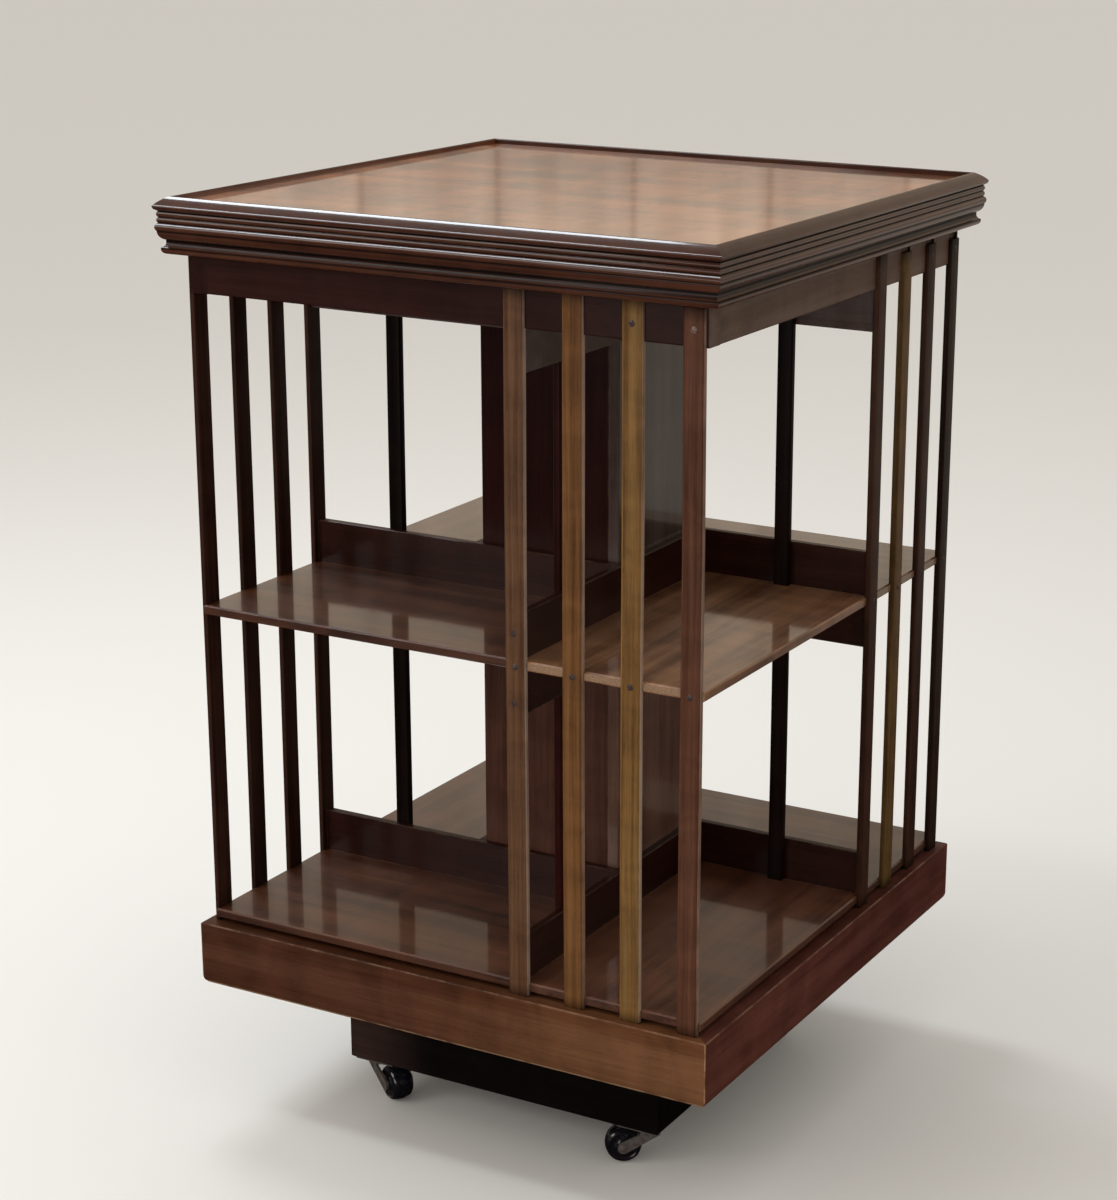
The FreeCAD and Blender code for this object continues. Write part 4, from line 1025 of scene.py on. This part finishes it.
# the line on the rounded foot: wear, with a painted highlight
PLINTH_POLISH_AND_HIGHLIGHT = {
    "contrast": 0.45, "figure": 0.25, "gloss": 0.05, "sheen": 0.1, "wear": 0.9, "wear_width": 0.0013,
    "foot_wear_and_highlight": 0.0025}
# the front board is painted lighter towards the front corner: painted light
PLINTH_COLOURS = {                  # at the two ends of each board
    "front": [(74, 44, 29), (100, 66, 42)],
    "right": [(86, 48, 39), (82, 44, 37)],
    "back": [(82, 50, 37), (76, 46, 34)],
    "left": [(78, 48, 36), (74, 42, 32)],
}
# each column board darkens towards its head, under the top, as painted shade; the right one is painted
# lighter and greyer, a painted reflection, and lacquered more
COLUMN_FINISH_AND_SHADE = {                 # colour at the foot and at the head, and weight of the lacquer
    "front": ((74, 46, 36), (38, 7, 4), 0.1),
    "right": ((92, 66, 54), (66, 54, 48), 1.0),
    "back": ((70, 44, 34), (44, 22, 16), 0.4),
    "left": ((70, 44, 34), (44, 22, 16), 0.4),
}
# the aprons' faces towards +X are painted lighter and greyer: a painted reflection
APRON_POLISH_AND_SHEEN = {"contrast": 0.4, "wear": 0.0, "plus_x_painted_sheen": (88, 70, 60)}


def paint_boards():
    """The flat boards of the case, each of its own piece of wood."""
    for quarter, face in enumerate(FACES):
        grain = "XYXY"[quarter]
        middle_shelf, bottom_shelf = SHELF_COLOURS[face]
        plinth, plinth_end = PLINTH_COLOURS[face]
        column, column_head_shade, lacquered = COLUMN_FINISH_AND_SHADE[face]
        # the column's colour turns to painted shade towards its head
        column_polish_and_shade = dict(
            gloss=lacquered, polish=0.1, sheen=0.1, far_light_and_shade=column_head_shade, fade=(0.3, 0.6), wear=0.1)
        boards = [                  # node, colour, grain, and what sets this wood apart
            (f"apron_{face}", (44, 19, 14), grain, APRON_POLISH_AND_SHEEN),
            (f"middle_shelf_{face}", middle_shelf, grain, dict(SHELF_POLISH_AND_SHADE, stained=False)),
            (f"bottom_shelf_{face}", bottom_shelf, grain, SHELF_POLISH_AND_SHADE),
            (f"middle_rail_{face}", (48, 22, 15), grain, dict(gloss=0.2)),
            (f"bottom_rail_{face}", (44, 19, 13), grain, dict(gloss=0.2)),
            (f"column_board_{face}", column, "Z", column_polish_and_shade),
            # the plinth's colour changes along it: painted light and shade
            (f"plinth_{face}", plinth, grain, dict(PLINTH_POLISH_AND_HIGHLIGHT, far_light_and_shade=plinth_end)),
        ]
        for number, (node, colour, fibres, finish) in enumerate(boards):
            seed = 1 + quarter + 10 * number
            paint(node, board_wood(node + "_wood", colour, fibres, seed, node, **finish))


make_camera()
make_floor()
make_room()
make_lamps()

slat_wood = run_wood(
    "slat_wood_polished", contrast=0.6, streaks=130.0, wander=0.003, gloss=0.06, sheen=0.08)
make_mouldings(run_wood(
    "moulding_wood_polished", contrast=0.5, streaks=90.0, gloss=1.0, polish=0.08, sheen=0.1))
make_slats(slat_wood)
make_inner_slats(slat_wood)
paint_boards()
paint("top_panel", board_wood(
    "top_panel_wood", (140, 80, 38), "X", 71, contrast=0.9, streaks=20.0, wander=0.03, figure=0.45,
    gloss=1.0, polish=0.07, sheen=0.4))
# the top rails are painted greyish: a painted reflection
paint("top_rails", board_wood("top_rail_wood_painted_sheen", (76, 60, 56), "X", 72, contrast=0.4, gloss=0.2))
paint("case_floor", board_wood("case_floor_wood", (62, 40, 30), "X", 73))
paint("bearing_block", board_wood("bearing_block_wood", (120, 90, 60), "X", 74, stained=False))
# the base frame darkens away from its left end: painted shade under the plinth, painted light on that end
paint("base_frame", board_wood(
    "base_frame_wood_painted_shade", (54, 38, 34), "X", 75, "base_frame", far_light_and_shade=(13, 9, 8), fade=(0.0, 0.3),
    contrast=0.4, wear=0.0))
paint("base_board", board_wood("base_board_wood", (32, 18, 14), "X", 76, contrast=0.4))
paint("corner_blocks", board_wood("corner_block_wood", (90, 66, 46), "Z", 77, stained=False))

steel = metal("castor_steel_worn", (122, 114, 110), 0.34, (70, 62, 58), bare=0.5)
screw_steel = metal("screw_steel_dull", None, 0.38, (60, 50, 46), bare=0.4)
brass = metal("bearing_brass_turned", (176, 140, 76), 0.25, (96, 72, 40))
make_slat_screws(screw_steel)
make_plate_screws(screw_steel)
make_rivets(steel)
make_wheels(wheel_plastic())
for node in ("bearing_cup", "guide_bush"):
    paint(node, brass)
paint("shaft", metal("shaft_steel_turned", (150, 148, 146), 0.25, (92, 88, 84), 0.3))
paint("shaft_flange", metal("flange_iron_black", (46, 44, 43), 0.5, (26, 24, 23)))
paint("castor_plates", steel)
for number in CASTORS:
    paint(f"castor_{number}_fork", steel)

bpy.context.scene.view_settings.view_transform = "Standard"
